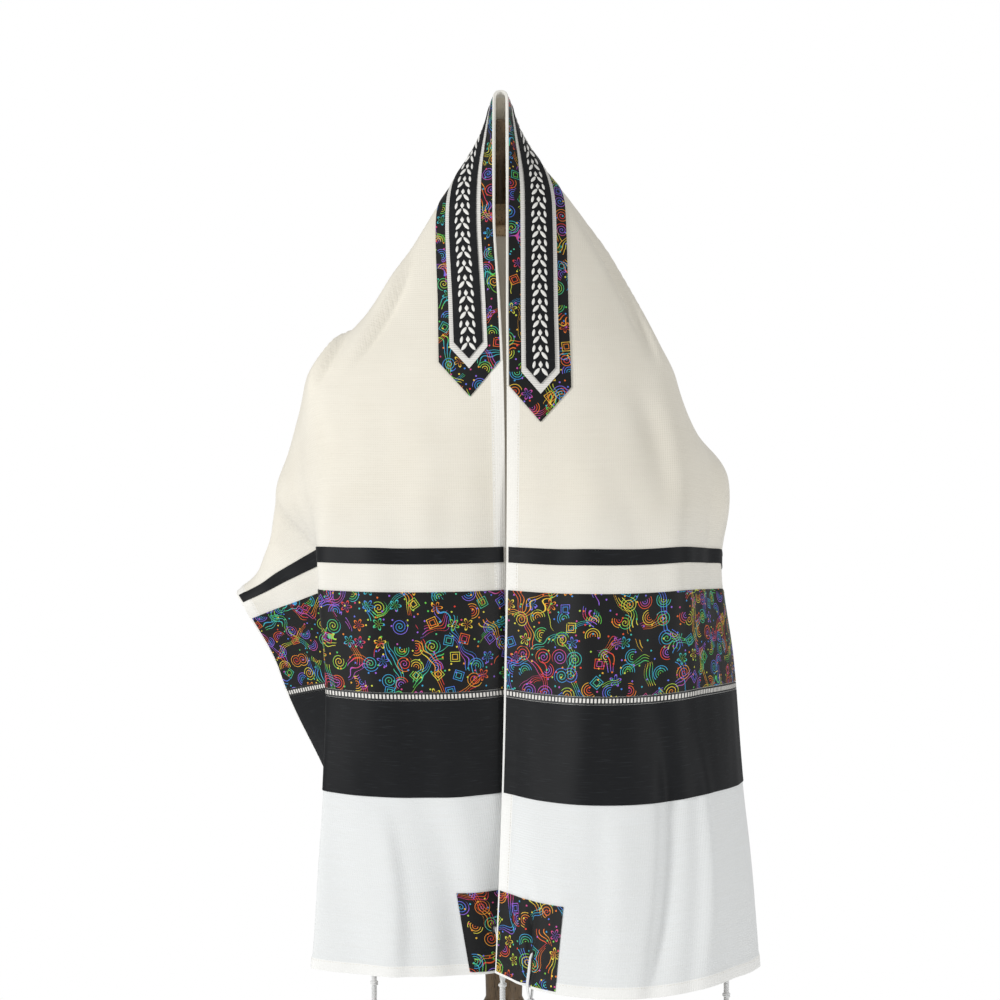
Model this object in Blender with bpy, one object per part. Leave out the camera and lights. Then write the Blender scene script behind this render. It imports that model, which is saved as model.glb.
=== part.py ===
"""Tallit prayer shawl, hung by the middle of its neck edge over a limbless dress form.

The shawl is one long cloth. Every point of it has a place on the flat cloth: how far it lies
along from the peak, and how far across from the neck edge. Each section across the cloth is
a chain of three stretches (front, side, rear), whose headings and dips come from the tables
below. What is sewn on the shawl is made from the same points, moved out.

Metres, +Z up, floor at z = 0, front of the shawl at -Y, post on the Z axis.
"""

import bmesh
import bpy
import numpy as np

CM = 0.01
MM = 0.001

# Sizes of the cloth
PEAK_HEIGHT = 166 * CM
HALF_LENGTH = 100 * CM
WIDTH = 55 * CM
EDGE_GAP = 0.6 * CM
WOOL_THICKNESS = 1.5 * MM
TRIM_THICKNESS = 1.0 * MM
SEAM_GAP = 0.3 * MM

# Sewn-on bands, measured along from the peak: start and end
THIN_STRIPE = (53.7 * CM, 55.4 * CM)
PRINT_BAND = (58.4 * CM, 69.1 * CM)
LADDER_RIBBON = (69.15 * CM, 69.95 * CM)
DUPION_BAND = (70.0 * CM, 80.4 * CM)
EDGE_MARGIN = 0.3 * CM
PATCH_SIDE = 9.0 * CM

# Neckband: edges across from the neck edge, and its ends along each front
NECKBAND_ACROSS = (0.3 * CM, 7.1 * CM)
RIBBON_ACROSS = (1.6 * CM, 5.8 * CM)
CENTRE_ACROSS = (2.1 * CM, 5.3 * CM)
NECKBAND_SHOULDER = {-1: 33.3 * CM, 1: 36.1 * CM}
NECKBAND_POINT = 3.9 * CM
NECKBAND_LIFT = 0.5 * MM
PIPING_WIDTH = 0.27 * CM

# Tassels: hole places (along, across), cords and lengths
HOLE_SIDE = 0.8 * CM
HOLES = {
    "tassel_front_left": (-1, 95.2 * CM, 5.4 * CM),
    "tassel_front_right": (1, 96.6 * CM, 5.4 * CM),
    "tassel_rear_left": (-1, 95.2 * CM, 52.5 * CM),
    "tassel_rear_right": (1, 95.2 * CM, 52.5 * CM),
}
LOOP_RADIUS = 1.7 * MM
LOOP_CLEARANCE = 0.8 * MM
LOOP_ROOT = 2.1 * MM
HEAD_LENGTH = 10 * CM
HEAD_RADIUS = 3.2 * MM
KNOT_RADIUS = 4.4 * MM
KNOT_COUNT = 5
STRAND_COUNT = 8
STRAND_RADIUS = 0.8 * MM
STRAND_SIDES = 3
STRAND_LENGTH = 19 * CM
STRAND_ROOT = 2.9 * MM
STRAND_SPREAD = 7 * MM

# Dress form. Its finial stands a little to the left, under the peak of the shawl
FINIAL_OUT = -0.4 * CM
POST_RADIUS = 2.3 * CM
BASE_THICKNESS = 2.6 * CM
FORM_SIDES = 28
FORM_RINGS = 22
TURNED_SIDES = 24

# Sections of the drape, one row for each, in cm and degrees. Headings are in plan: 0 is
# outward, 90 is backward, 180 is inward. Dips are below level.
COLUMNS = ("along", "edge_depth", "front_start", "front_end", "sag", "turn_at", "turn_width",
           "side", "side_dip", "rear_at", "rear_width", "rear", "rear_dip")
LEFT_SECTIONS = (
    (0.0, -1.2, 60, 90, 60, 0.9, 1.4, 90, 65, 28.0, 14, 90, 84),
    (15.0, -6.2, 10, 36, 2, 8.2, 5.0, 88, 53, 31.0, 14, 98, 65),
    (27.0, -10.2, 6, 40, 2, 17.0, 5.5, 88, 43, 33.0, 14, 142, 62),
    (34.0, -11.6, 0, 38, 2, 23.7, 6.5, 78, 32, 38.0, 12, 166, 57),
    (44.0, -12.3, -14, 34, 1, 21.1, 8.0, 66, 9, 39.0, 12, 98, 46),
    (56.5, -12.5, -26, 26, 2, 21.5, 3.0, 92, 1, 41.5, 8, 30, 21),
    (67.0, -12.3, -28, 28, 4, 21.2, 2.0, 100, 0, 41.5, 8, 36, 11),
    (80.0, -11.8, -24, 18, 6, 22.4, 2.0, 103, 0, 41.5, 9, 64, 10),
    (100.0, -10.6, -20, 8, 7, 26.5, 2.0, 106, 0, 43.6, 10, 96, 3),
)
RIGHT_SECTIONS = (
    (0.0, -1.2, 60, 90, 60, 0.9, 1.4, 90, 65, 28.0, 14, 90, 84),
    (15.0, -6.2, 10, 36, 2, 9.6, 5.0, 88, 53, 31.0, 14, 98, 65),
    (27.0, -10.2, 6, 40, 2, 16.7, 5.5, 88, 43, 33.0, 14, 142, 62),
    (34.0, -11.6, 0, 38, 2, 20.5, 6.5, 84, 32, 38.0, 12, 166, 57),
    (44.0, -12.4, -14, 34, 1, 21.2, 8.0, 60, 11, 34.0, 12, 112, 36),
    (54.5, -13.0, -30, 30, 3, 20.4, 6.0, 66, 2, 34.0, 9, 98, 18),
    (67.0, -13.2, -38, 36, 6, 22.2, 4.0, 62, 0, 34.0, 9, 99, 6),
    (80.0, -13.2, -46, 38, 8, 24.3, 3.0, 60, 0, 34.5, 9, 99, 1),
    (100.0, -13.8, -60, 42, 10, 28.8, 2.5, 54, 0, 36.5, 9, 99, 0),
)
SECTIONS = {-1: LEFT_SECTIONS, 1: RIGHT_SECTIONS}
STEEP_AT_PEAK = ("turn_at", "edge_depth")
# How far each front edge is drawn to its own side, beside the gap at the peak, in cm, one
# pair for each place: along, out. Low on the front both are drawn across the middle, and the
# left edge lies behind the right one.
EDGE_LINES = {
    -1: ((0, 0.4), (15, 0.4), (27, -0.2), (34, -0.5), (44, -0.7), (55, -0.85), (67, -1.2), (80, -2.5),
         (100, -5.6)),
    1: ((0, -0.4), (15, -0.38), (27, -0.38), (34, -0.32), (44, -0.27), (55, -0.25), (67, -0.45),
        (80, -0.75), (100, -1.4)),
}

# Lines of the cloth grid, in cm. Bands, neckband and patches end on them.
ALONG_LINES = (0, 0.8, 2, 4, 7, 10.5, 14, 18, 22, 26, 30, 33.3, 36.1, 38.6, 41.5, 44.5, 47.5, 50.5,
               53.7, 55.4, 58.4, 63.6, 69.1, 70.0, 80.4, 91.0, 99.7, 100.0)
ACROSS_LINES = (0, 0.3, 1.6, 2.1, 3.7, 5.0, 5.3, 5.8, 7.1, 9.0, 12.0, 15.5, 18.2, 19.6, 20.8, 22.0, 23.4,
                26.0, 30.0, 34.0, 37.4, 40.0, 42.6, 46.0, 49.0, 52.1, 52.9, 54.7, 55.0)

# Torso rings, in cm: below the peak, half width, half depth, middle's depth
TORSO_RINGS = (
    (17.0, 4.8, 4.5, -0.9),
    (21.0, 5.0, 4.7, -0.9),
    (24.0, 6.4, 5.2, -0.7),
    (27.5, 10.0, 6.2, -0.3),
    (31.0, 13.6, 7.2, 0.0),
    (34.5, 15.6, 8.2, 0.0),
    (40.0, 15.4, 9.4, -0.3),
    (47.0, 15.0, 10.2, -0.8),
    (55.0, 13.4, 9.2, 0.0),
    (63.0, 11.8, 8.4, 0.2),
    (71.0, 12.2, 8.8, 0.2),
    (80.0, 13.0, 9.6, 0.2),
    (88.0, 13.0, 9.6, 0.2),
    (90.0, 12.2, 9.0, 0.2),
)
# Turned profiles, in cm: height from the piece's foot, radius
FINIAL_PROFILE = ((0.0, 3.0), (0.9, 3.2), (1.5, 2.6), (2.4, 1.7), (3.6, 1.35), (5.2, 1.2), (6.8, 1.3),
                  (7.6, 1.65), (8.2, 1.65), (8.7, 1.25), (9.3, 1.05), (10.1, 1.24), (10.9, 1.33),
                  (11.6, 1.15), (12.2, 0.8), (12.5, 0.4))
NECK_CAP_PROFILE = ((0.0, 5.1), (0.5, 5.3), (1.0, 5.1), (1.3, 4.4))
POST_COLLAR_PROFILE = ((0.0, 3.2), (0.6, 3.6), (1.4, 3.6), (2.0, 3.0), (2.8, 3.3), (3.4, 3.3), (4.0, 2.7))
BASE_PROFILE = ((0.0, 18.4), (0.5, 19.0), (1.5, 19.0), (2.1, 18.2), (2.6, 16.8))


def clear_scene():
    for item in list(bpy.data.objects):
        bpy.data.objects.remove(item, do_unlink=True)


def material(name, colour, roughness, metallic=0.0):
    shader = bpy.data.materials.new(name)
    shader.use_nodes = True
    node = shader.node_tree.nodes["Principled BSDF"]
    node.inputs["Base Color"].default_value = (*colour, 1.0)
    node.inputs["Roughness"].default_value = roughness
    node.inputs["Metallic"].default_value = metallic
    return shader


def add_object(name, mesh, shader, sharp_degrees=40):
    item = bpy.data.objects.new(name, mesh)
    bpy.context.scene.collection.objects.link(item)
    mesh.materials.append(shader)
    mesh.shade_smooth()
    mesh.set_sharp_from_angle(angle=np.radians(sharp_degrees))
    return item


def ease(value):
    value = np.clip(value, 0.0, 1.0)
    return value * value * (3.0 - 2.0 * value)


def smooth_curve(x, y, at, steep_start=False):
    """Values of a smooth curve without overshoot through the given points."""
    rise = np.diff(y) / np.diff(x)
    slope = np.zeros(len(x))
    for row in range(1, len(x) - 1):
        before, after = rise[row - 1], rise[row]
        if before * after > 0:
            slope[row] = 2 * before * after / (before + after)
    slope[0] = rise[0] if steep_start else 0.0
    slope[-1] = rise[-1]
    at = np.clip(at, 0.0, x[-1])
    row = np.clip(np.searchsorted(x, at, side="right") - 1, 0, len(x) - 2)
    span = x[row + 1] - x[row]
    t = (at - x[row]) / span
    return (y[row] * (1 + 2 * t) * (1 - t) ** 2 + slope[row] * span * t * (1 - t) ** 2
            + y[row + 1] * t * t * (3 - 2 * t) + slope[row + 1] * span * t * t * (t - 1))


def read_column(side, name, along):
    """Value of one column of the sections' table at any distances along."""
    table = np.array(SECTIONS[side], dtype=float)
    return smooth_curve(table[:, 0] * CM, table[:, COLUMNS.index(name)], along,
                        name in STEEP_AT_PEAK)


def neck_edge(side, step=0.1 * CM):
    """The neck edge, from the peak down the middle of the front, at its true length."""
    marks = np.arange(0.0, HALF_LENGTH + step, step)
    line = np.array(EDGE_LINES[side], dtype=float) * CM
    out = EDGE_GAP * np.tanh(marks / EDGE_GAP) + smooth_curve(line[:, 0], line[:, 1], marks)
    depth = read_column(side, "edge_depth", marks) * CM
    fall = np.diff(marks) ** 2 - np.diff(out) ** 2 - np.diff(depth) ** 2
    drop = np.concatenate(([0.0], np.cumsum(np.sqrt(np.maximum(fall, 0.0)))))
    return marks, np.stack((out, depth, -drop), 1)


NECK_EDGES = {side: neck_edge(side) for side in (-1, 1)}


def section(side, along, across, step=0.1 * CM):
    """Points of one section of the cloth, at the distances across from the neck edge."""
    value = {name: float(read_column(side, name, along)) for name in COLUMNS[1:]}
    marks = np.arange(0.0, WIDTH + step, step)
    turn_at = value["turn_at"] * CM
    t = np.clip(marks / turn_at, 0.0, 1.0)
    heading = value["front_start"] + (value["front_end"] - value["front_start"]) * t
    dip = value["sag"] * (1.0 - 2.0 * t)
    for name in ("turn", "side"), ("rear", "rear"):
        start = value[name[0] + "_at"] * CM
        share = ease((marks - start) / (value[name[0] + "_width"] * CM) + 0.5)
        heading = heading + (value[name[1]] - heading) * share
        dip = dip + (value[name[1] + "_dip"] - dip) * share
    heading, dip = np.radians(heading), np.radians(dip)
    level = np.cos(dip)
    way = np.stack((level * np.cos(heading), level * np.sin(heading), -np.sin(dip)), 1)
    path = np.vstack((np.zeros(3), np.cumsum((way[1:] + way[:-1]) * 0.5 * step, axis=0)))
    edge_marks, edge = NECK_EDGES[side]
    path += [np.interp(along, edge_marks, edge[:, axis]) for axis in range(3)]
    points = np.stack([np.interp(across, marks, path[:, axis]) for axis in range(3)], 1)
    points[:, 0] *= side
    points[:, 2] += PEAK_HEIGHT
    return points


def signed_points(signed_along, across):
    """Cloth points for one signed distance along: negative on the left, positive on the right."""
    side = -1 if signed_along < 0 else 1
    return section(side, abs(signed_along), across)


def cloth_grid(signed_alongs, across):
    """Points and outward normals of the cloth, for lines along by lines across."""
    small = 0.2 * CM
    across = np.array(across, dtype=float)
    points, normals = [], []
    for along in signed_alongs:
        low = max(along - small, -HALF_LENGTH)
        high = min(along + small, HALF_LENGTH)
        down = signed_points(high, across) - signed_points(low, across)
        wide = (signed_points(along, np.minimum(across + small, WIDTH))
                - signed_points(along, np.maximum(across - small, 0.0)))
        normal = np.cross(down, wide)
        points.append(signed_points(along, across))
        normals.append(normal / np.linalg.norm(normal, axis=1)[:, None])
    return np.array(points), np.array(normals)


def wall(name, outer, inner, shader, keep=None):
    """A closed wall between two grids of points; cells where keep is False are left open."""
    rows, columns = outer.shape[:2]
    if keep is None:
        keep = np.ones((rows - 1, columns - 1), dtype=bool)
    vertices = np.concatenate((outer.reshape(-1, 3), inner.reshape(-1, 3)))
    count = rows * columns

    def corner(row, column, inside=False):
        return row * columns + column + (count if inside else 0)

    def is_kept(row, column):
        return 0 <= row < rows - 1 and 0 <= column < columns - 1 and keep[row, column]

    faces = []
    for row in range(rows - 1):
        for column in range(columns - 1):
            if not keep[row, column]:
                continue
            loop = ((row, column), (row + 1, column), (row + 1, column + 1), (row, column + 1))
            for half in ((0, 1, 2), (0, 2, 3)):
                faces.append([corner(*loop[number]) for number in half])
                faces.append([corner(*loop[number], inside=True) for number in reversed(half)])
            beside = ((row, column - 1), (row + 1, column), (row, column + 1), (row - 1, column))
            for number, neighbour in enumerate(beside):
                if not is_kept(*neighbour):
                    start, end = loop[number], loop[(number + 1) % 4]
                    faces.append([corner(*end), corner(*start),
                                  corner(*start, inside=True), corner(*end, inside=True)])
    mesh = bpy.data.meshes.new(name)
    mesh.from_pydata(vertices.tolist(), [], faces)
    build = bmesh.new()
    build.from_mesh(mesh)
    loose = [vertex for vertex in build.verts if not vertex.link_faces]
    bmesh.ops.delete(build, geom=loose, context="VERTS")
    build.to_mesh(mesh)
    build.free()
    return add_object(name, mesh, shader)


def lines_between(lines, start, end):
    """The grid lines (in metres) inside a stretch, with its two ends."""
    inside = [line for line in lines if start + 0.1 * MM < line < end - 0.1 * MM]
    return [start] + inside + [end]


def trim(name, signed_alongs, across, shader, lift=SEAM_GAP, thickness=TRIM_THICKNESS, keep=None):
    """A piece sewn on the cloth: the cloth's own points, moved out."""
    points, normals = cloth_grid(signed_alongs, across)
    return wall(name, points + normals * (lift + thickness), points + normals * lift, shader, keep)


def hole_lines(lines, centre):
    """Adds the two edges of a tassel hole to the lines, where they aren't there yet."""
    lines = list(lines)
    for edge in (centre - HOLE_SIDE / 2, centre + HOLE_SIDE / 2):
        if all(abs(line - edge) > 0.5 * MM for line in lines):
            lines.append(edge)
    return sorted(lines)


def side_lines(side):
    """All grid lines along one half of the cloth, with those of its tassel holes."""
    lines = np.array(ALONG_LINES) * CM
    for hole_side, along, _ in HOLES.values():
        if hole_side == side:
            lines = hole_lines(lines, along)
    return lines


def across_lines():
    lines = np.array(ACROSS_LINES) * CM
    for _, _, centre in HOLES.values():
        lines = hole_lines(lines, centre)
    return lines


def open_holes(signed, across):
    """True for the cells of a grid that are cloth, False for those inside a tassel hole."""
    keep = np.ones((len(signed) - 1, len(across) - 1), dtype=bool)
    middle_along = (np.array(signed[:-1]) + np.array(signed[1:])) / 2
    middle_across = (np.array(across[:-1]) + np.array(across[1:])) / 2
    for side, along, centre in HOLES.values():
        rows = np.abs(middle_along - side * along) < HOLE_SIDE / 2
        columns = np.abs(middle_across - centre) < HOLE_SIDE / 2
        keep[np.ix_(rows, columns)] = False
    return keep


def wool_cloth(shader):
    """The whole shawl as one wall, with a hole near each corner."""
    signed = [-line for line in reversed(side_lines(-1))] + list(side_lines(1)[1:])
    across = across_lines()
    points, normals = cloth_grid(signed, across)
    inner = points - normals * WOOL_THICKNESS
    wall("shawl_wool", points, inner, shader, open_holes(signed, across))


def band_pair(name, stretch, shader):
    """The same band on both ends of the shawl, from edge to edge."""
    across = lines_between(across_lines(), EDGE_MARGIN, WIDTH - EDGE_MARGIN)
    for side, word in ((-1, "left"), (1, "right")):
        lines = [side * line for line in lines_between(side_lines(side), *stretch)]
        trim(f"{name}_{word}", sorted(lines), across, shader)


def corner_patches(shader):
    """A square patch at each corner, open where the tassel goes through."""
    for name, (side, along, centre) in HOLES.items():
        lines = lines_between(side_lines(side), HALF_LENGTH - PATCH_SIDE,
                              HALF_LENGTH - EDGE_MARGIN)
        near = EDGE_MARGIN if centre < WIDTH / 2 else WIDTH - PATCH_SIDE
        far = PATCH_SIDE if centre < WIDTH / 2 else WIDTH - EDGE_MARGIN
        across = lines_between(across_lines(), near, far)
        signed = sorted(side * line for line in lines)
        keep = open_holes(signed, across)
        trim(name.replace("tassel", "patch"), signed, across, shader, keep=keep)


def neckband_piece(name, across_edges, point_back, shader, lift):
    """One layer of the neckband, with a point at each end. point_back shortens its ends."""
    near, far = across_edges
    across = np.array(lines_between(across_lines(), near, far))
    middle = (near + far) / 2
    taper = 1.0 - np.abs(across - middle) / (far - middle)
    reach = NECKBAND_POINT * (far - near) / (NECKBAND_ACROSS[1] - NECKBAND_ACROSS[0])
    body = {side: NECKBAND_SHOULDER[side] - point_back for side in (-1, 1)}
    inner_lines = {side: lines_between(side_lines(side), 0.0, body[side]) for side in (-1, 1)}
    signed = [-line for line in reversed(inner_lines[-1])] + inner_lines[1][1:]
    points, normals = cloth_grid(signed, across)
    for side in (-1, 1):
        for share in (0.5, 1.0):
            ends = [cloth_grid([side * (body[side] + 1 * MM + reach * share * part)], [distance])
                    for distance, part in zip(across, taper)]
            end_points = np.concatenate([end[0] for end in ends], axis=1)
            end_normals = np.concatenate([end[1] for end in ends], axis=1)
            order = (end_points, points) if side < 0 else (points, end_points)
            points = np.concatenate(order)
            order = (end_normals, normals) if side < 0 else (normals, end_normals)
            normals = np.concatenate(order)
    return wall(name, points + normals * (lift + TRIM_THICKNESS), points + normals * lift, shader)


def neckband(print_shader, dupion_shader, ribbon_shader):
    """Print strip, white ribbon and black centre, one on the other, and the piped neck edge."""
    layer = SEAM_GAP + TRIM_THICKNESS
    neckband_piece("neckband_print", NECKBAND_ACROSS, 0.0, print_shader, NECKBAND_LIFT)
    neckband_piece("neckband_ribbon", RIBBON_ACROSS, 1.6 * CM, ribbon_shader, NECKBAND_LIFT + layer)
    neckband_piece("neckband_centre", CENTRE_ACROSS, 2.1 * CM, dupion_shader,
                   NECKBAND_LIFT + 2 * layer)
    ends = {side: NECKBAND_SHOULDER[side] for side in (-1, 1)}
    lines = {side: lines_between(side_lines(side), 0.0, ends[side]) for side in (-1, 1)}
    signed = [-line for line in reversed(lines[-1])] + lines[1][1:]
    trim("neck_piping", signed, [0.0, PIPING_WIDTH], ribbon_shader, thickness=2 * TRIM_THICKNESS)


def tube_mesh(name, path, radii, sides):
    """A closed tube through the points of a path, with a ring of the given sides at each."""
    path = np.array(path, dtype=float)
    build = bmesh.new()
    rings = []
    ways = np.gradient(path, axis=0)
    across = np.array((1.0, 0.0, 0.0))
    for point, way, radius in zip(path, ways, radii):
        way = way / np.linalg.norm(way)
        across = across - way * np.dot(across, way)
        across = across / np.linalg.norm(across)
        other = np.cross(way, across)
        ring = []
        for number in range(sides):
            angle = 2 * np.pi * (number + 0.5) / sides
            at = point + radius * (across * np.cos(angle) + other * np.sin(angle))
            ring.append(build.verts.new(at.tolist()))
        rings.append(ring)
    for first, second in zip(rings, rings[1:]):
        for number in range(sides):
            after = (number + 1) % sides
            build.faces.new((first[number], first[after], second[after], second[number]))
    build.faces.new(list(reversed(rings[0])))
    build.faces.new(rings[-1])
    mesh = bpy.data.meshes.new(name)
    build.to_mesh(mesh)
    build.free()
    return mesh


def turned(name, profile, foot, shader, centre=(0.0, 0.0), sides=TURNED_SIDES):
    """A turned piece standing at the height foot, from its profile of heights and radii."""
    path = [(centre[0], centre[1], foot + height * CM) for height, _ in profile]
    radii = [radius * CM for _, radius in profile]
    return add_object(name, tube_mesh(name, path, radii, sides), shader)


def add_guide(name, mesh):
    """A shape that is only joined to another one."""
    guide = bpy.data.objects.new(name, mesh)
    bpy.context.scene.collection.objects.link(guide)
    guide.hide_render = True
    guide.display_type = "WIRE"
    return guide


def unite(item, guide):
    join = item.modifiers.new("join", "BOOLEAN")
    join.operation = "UNION"
    join.object = guide


def tassel(name, side, along, across, shader):
    """A knotted head below the hem, its loop through the hole and its hanging strands."""
    point, normal = cloth_grid([side * along], [across])
    point, normal = point[0, 0], normal[0, 0]
    hem, _ = cloth_grid([side * HALF_LENGTH], [across])
    hem = hem[0, 0]
    front = SEAM_GAP + TRIM_THICKNESS + LOOP_CLEARANCE + LOOP_RADIUS
    back = WOOL_THICKNESS + LOOP_CLEARANCE + LOOP_RADIUS
    head_top = hem - normal * WOOL_THICKNESS / 2
    head_top[2] = hem[2] - 1.2 * CM
    down = np.array((0.0, 0.0, -1.0))
    path = []
    for share in np.linspace(1.0, 0.12, 3):
        path.append(point + (hem - point) * share + normal * front)
    for angle in np.linspace(20, 160, 4):
        reach = (front + back) / 2
        middle = point + normal * (front - back) / 2
        turn = np.radians(angle)
        path.append(middle + normal * reach * np.cos(turn) - down * reach * 0.55 * np.sin(turn))
    for share in np.linspace(0.12, 1.0, 3):
        path.append(point + (hem - point) * share - normal * back)
    root = head_top + down * 3 * MM
    path = [root + normal * LOOP_ROOT] + path + [root - normal * LOOP_ROOT]
    loop = tube_mesh(name + "_loop", path, [LOOP_RADIUS] * len(path), 6)

    steps = KNOT_COUNT * 3
    heights = np.linspace(0.0, HEAD_LENGTH, steps + 1)
    knotted = (1 + np.cos(2 * np.pi * np.arange(steps + 1) / 3)) / 2
    radii = HEAD_RADIUS + (KNOT_RADIUS - HEAD_RADIUS) * knotted
    head = tube_mesh(name, [head_top + down * height for height in heights], radii, 8)
    item = add_object(name, head, shader)
    unite(item, add_guide(name + "_loop", loop))

    strands = bmesh.new()
    foot = head_top + down * HEAD_LENGTH
    for number in range(STRAND_COUNT):
        angle = 2 * np.pi * (number + 0.5) / STRAND_COUNT
        way = np.array((np.cos(angle), np.sin(angle), 0.0))
        shorter = STRAND_LENGTH * (1 - 0.06 * (number % 3))
        strand = []
        for share in np.linspace(0.0, 1.0, 6):
            wave = 1.2 * MM * share * np.sin(3 * share + number)
            spread = STRAND_ROOT + STRAND_SPREAD * ease(share * 1.6) + wave
            strand.append(foot + way * spread + down * (shorter * share - 4 * MM))
        piece = tube_mesh("strand", strand, [STRAND_RADIUS] * len(strand), STRAND_SIDES)
        strands.from_mesh(piece)
        bpy.data.meshes.remove(piece)
    mesh = bpy.data.meshes.new(name + "_strands")
    strands.to_mesh(mesh)
    strands.free()
    unite(item, add_guide(name + "_strands", mesh))


def torso(shader):
    """The limbless form: oval rings from the neck to the closed foot of the torso."""
    table = np.array(TORSO_RINGS) * CM
    below = np.linspace(table[0, 0], table[-1, 0], FORM_RINGS)
    build = bmesh.new()
    rings = []
    for depth in below:
        half_width, half_depth, middle = [np.interp(depth, table[:, 0], table[:, column])
                                          for column in (1, 2, 3)]
        ring = []
        for number in range(FORM_SIDES):
            angle = 2 * np.pi * number / FORM_SIDES
            ring.append(build.verts.new((half_width * np.cos(angle),
                                         middle + half_depth * np.sin(angle),
                                         PEAK_HEIGHT - depth)))
        rings.append(ring)
    for upper, lower in zip(rings, rings[1:]):
        for number in range(FORM_SIDES):
            after = (number + 1) % FORM_SIDES
            build.faces.new((upper[number], lower[number], lower[after], upper[after]))
    build.faces.new(rings[0])
    build.faces.new(list(reversed(rings[-1])))
    bmesh.ops.smooth_vert(build, verts=[v for ring in rings[1:-1] for v in ring], factor=0.5,
                          use_axis_x=True, use_axis_y=True, use_axis_z=False)
    mesh = bpy.data.meshes.new("form_torso")
    build.to_mesh(mesh)
    build.free()
    return add_object("form_torso", mesh, shader)


def dress_form(linen, wood):
    """Torso, neck cap, finial, collar, post and round base, each resting on the next."""
    torso(linen)
    neck_top = PEAK_HEIGHT - TORSO_RINGS[0][0] * CM
    foot = PEAK_HEIGHT - TORSO_RINGS[-1][0] * CM
    middle = TORSO_RINGS[0][3] * CM
    cap_foot = neck_top + SEAM_GAP
    turned("form_neck_cap", NECK_CAP_PROFILE, cap_foot, wood, (0.0, middle))
    finial_foot = cap_foot + NECK_CAP_PROFILE[-1][0] * CM + SEAM_GAP
    turned("form_finial", FINIAL_PROFILE, finial_foot, wood, (FINIAL_OUT, middle))
    collar_height = POST_COLLAR_PROFILE[-1][0]
    collar_foot = foot - SEAM_GAP - collar_height * CM
    collar = [(collar_height - height, radius) for height, radius in reversed(POST_COLLAR_PROFILE)]
    turned("form_collar", collar, collar_foot, wood)
    post_foot = BASE_THICKNESS + SEAM_GAP
    post_length = (collar_foot - SEAM_GAP - post_foot) / CM
    radius = POST_RADIUS / CM
    post = ((0.0, radius * 1.5), (1.2, radius * 1.5), (2.4, radius), (post_length / 3, radius * 0.95),
            (post_length - 12.0, radius * 0.95), (post_length - 10.6, radius * 1.22),
            (post_length - 9.2, radius * 0.9), (post_length, radius))
    turned("form_post", post, post_foot, wood)
    turned("form_base", BASE_PROFILE, 0.0, wood, sides=36)


def main():
    clear_scene()
    wool = material("wool", (0.86, 0.83, 0.76), 0.85)
    dupion = material("dupion", (0.015, 0.016, 0.018), 0.5)
    print_cloth = material("print_cloth", (0.03, 0.03, 0.04), 0.6)
    ribbon = material("ribbon", (0.85, 0.85, 0.84), 0.45)
    ladder = material("ladder_ribbon", (0.5, 0.5, 0.5), 0.5)
    cord = material("cotton_cord", (0.85, 0.86, 0.88), 0.8)
    linen = material("linen", (0.62, 0.57, 0.49), 0.9)
    wood = material("turned_wood", (0.09, 0.05, 0.03), 0.45)

    wool_cloth(wool)
    band_pair("thin_stripe", THIN_STRIPE, dupion)
    band_pair("print_band", PRINT_BAND, print_cloth)
    band_pair("ladder_ribbon", LADDER_RIBBON, ladder)
    band_pair("dupion_band", DUPION_BAND, dupion)
    corner_patches(print_cloth)
    neckband(print_cloth, dupion, ribbon)
    for name, (side, along, across) in HOLES.items():
        tassel(name, side, along, across, cord)
    dress_form(linen, wood)


if __name__ == "__main__":
    main()
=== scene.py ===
# %% [markdown]
# # A tallit on a dress form, dressed for the camera
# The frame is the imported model: the shawl, its bands and tassels, and the form it hangs on.
# Here each cloth piece gets its own thin shell, worked out from the same drape as the solid
# it stands for, and each surface gets the finish of the real one. The camera stands where
# the photographer stood, on a level with the chest of the form.

# %% Load the frame
import math

import bmesh
import bpy
import numpy as np
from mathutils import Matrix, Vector


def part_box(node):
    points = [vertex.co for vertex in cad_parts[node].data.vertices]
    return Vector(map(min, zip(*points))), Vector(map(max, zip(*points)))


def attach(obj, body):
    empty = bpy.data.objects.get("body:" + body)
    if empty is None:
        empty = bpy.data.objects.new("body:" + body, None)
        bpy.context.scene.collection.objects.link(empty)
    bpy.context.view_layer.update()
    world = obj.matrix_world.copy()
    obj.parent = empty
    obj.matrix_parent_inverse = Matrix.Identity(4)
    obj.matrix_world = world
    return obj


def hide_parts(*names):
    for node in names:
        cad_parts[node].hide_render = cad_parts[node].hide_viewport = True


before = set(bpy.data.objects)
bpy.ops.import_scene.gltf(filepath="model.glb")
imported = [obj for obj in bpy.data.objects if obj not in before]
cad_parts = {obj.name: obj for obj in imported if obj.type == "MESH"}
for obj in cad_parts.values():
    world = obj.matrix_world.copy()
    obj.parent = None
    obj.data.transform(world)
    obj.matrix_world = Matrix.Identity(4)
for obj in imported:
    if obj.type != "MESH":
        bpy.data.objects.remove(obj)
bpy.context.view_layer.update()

CM = 0.01
MM = 0.001

# %% [markdown]
# ## Camera
# The shawl fills the height of the picture and the two sides of it look the same width, so
# the lens is a long one, held level. The level shows in the bands: those above the middle
# of the picture sag, those below it rise.

# %% Camera
CAMERA_DISTANCE = 2.73
CAMERA_HEIGHT = 1.1945
SENSOR_WIDTH = 36.0
PICTURE_SIDE = 1000
PIXELS_PER_SLOPE = 2386.8
MIDDLE_PIXEL = 504

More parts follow.
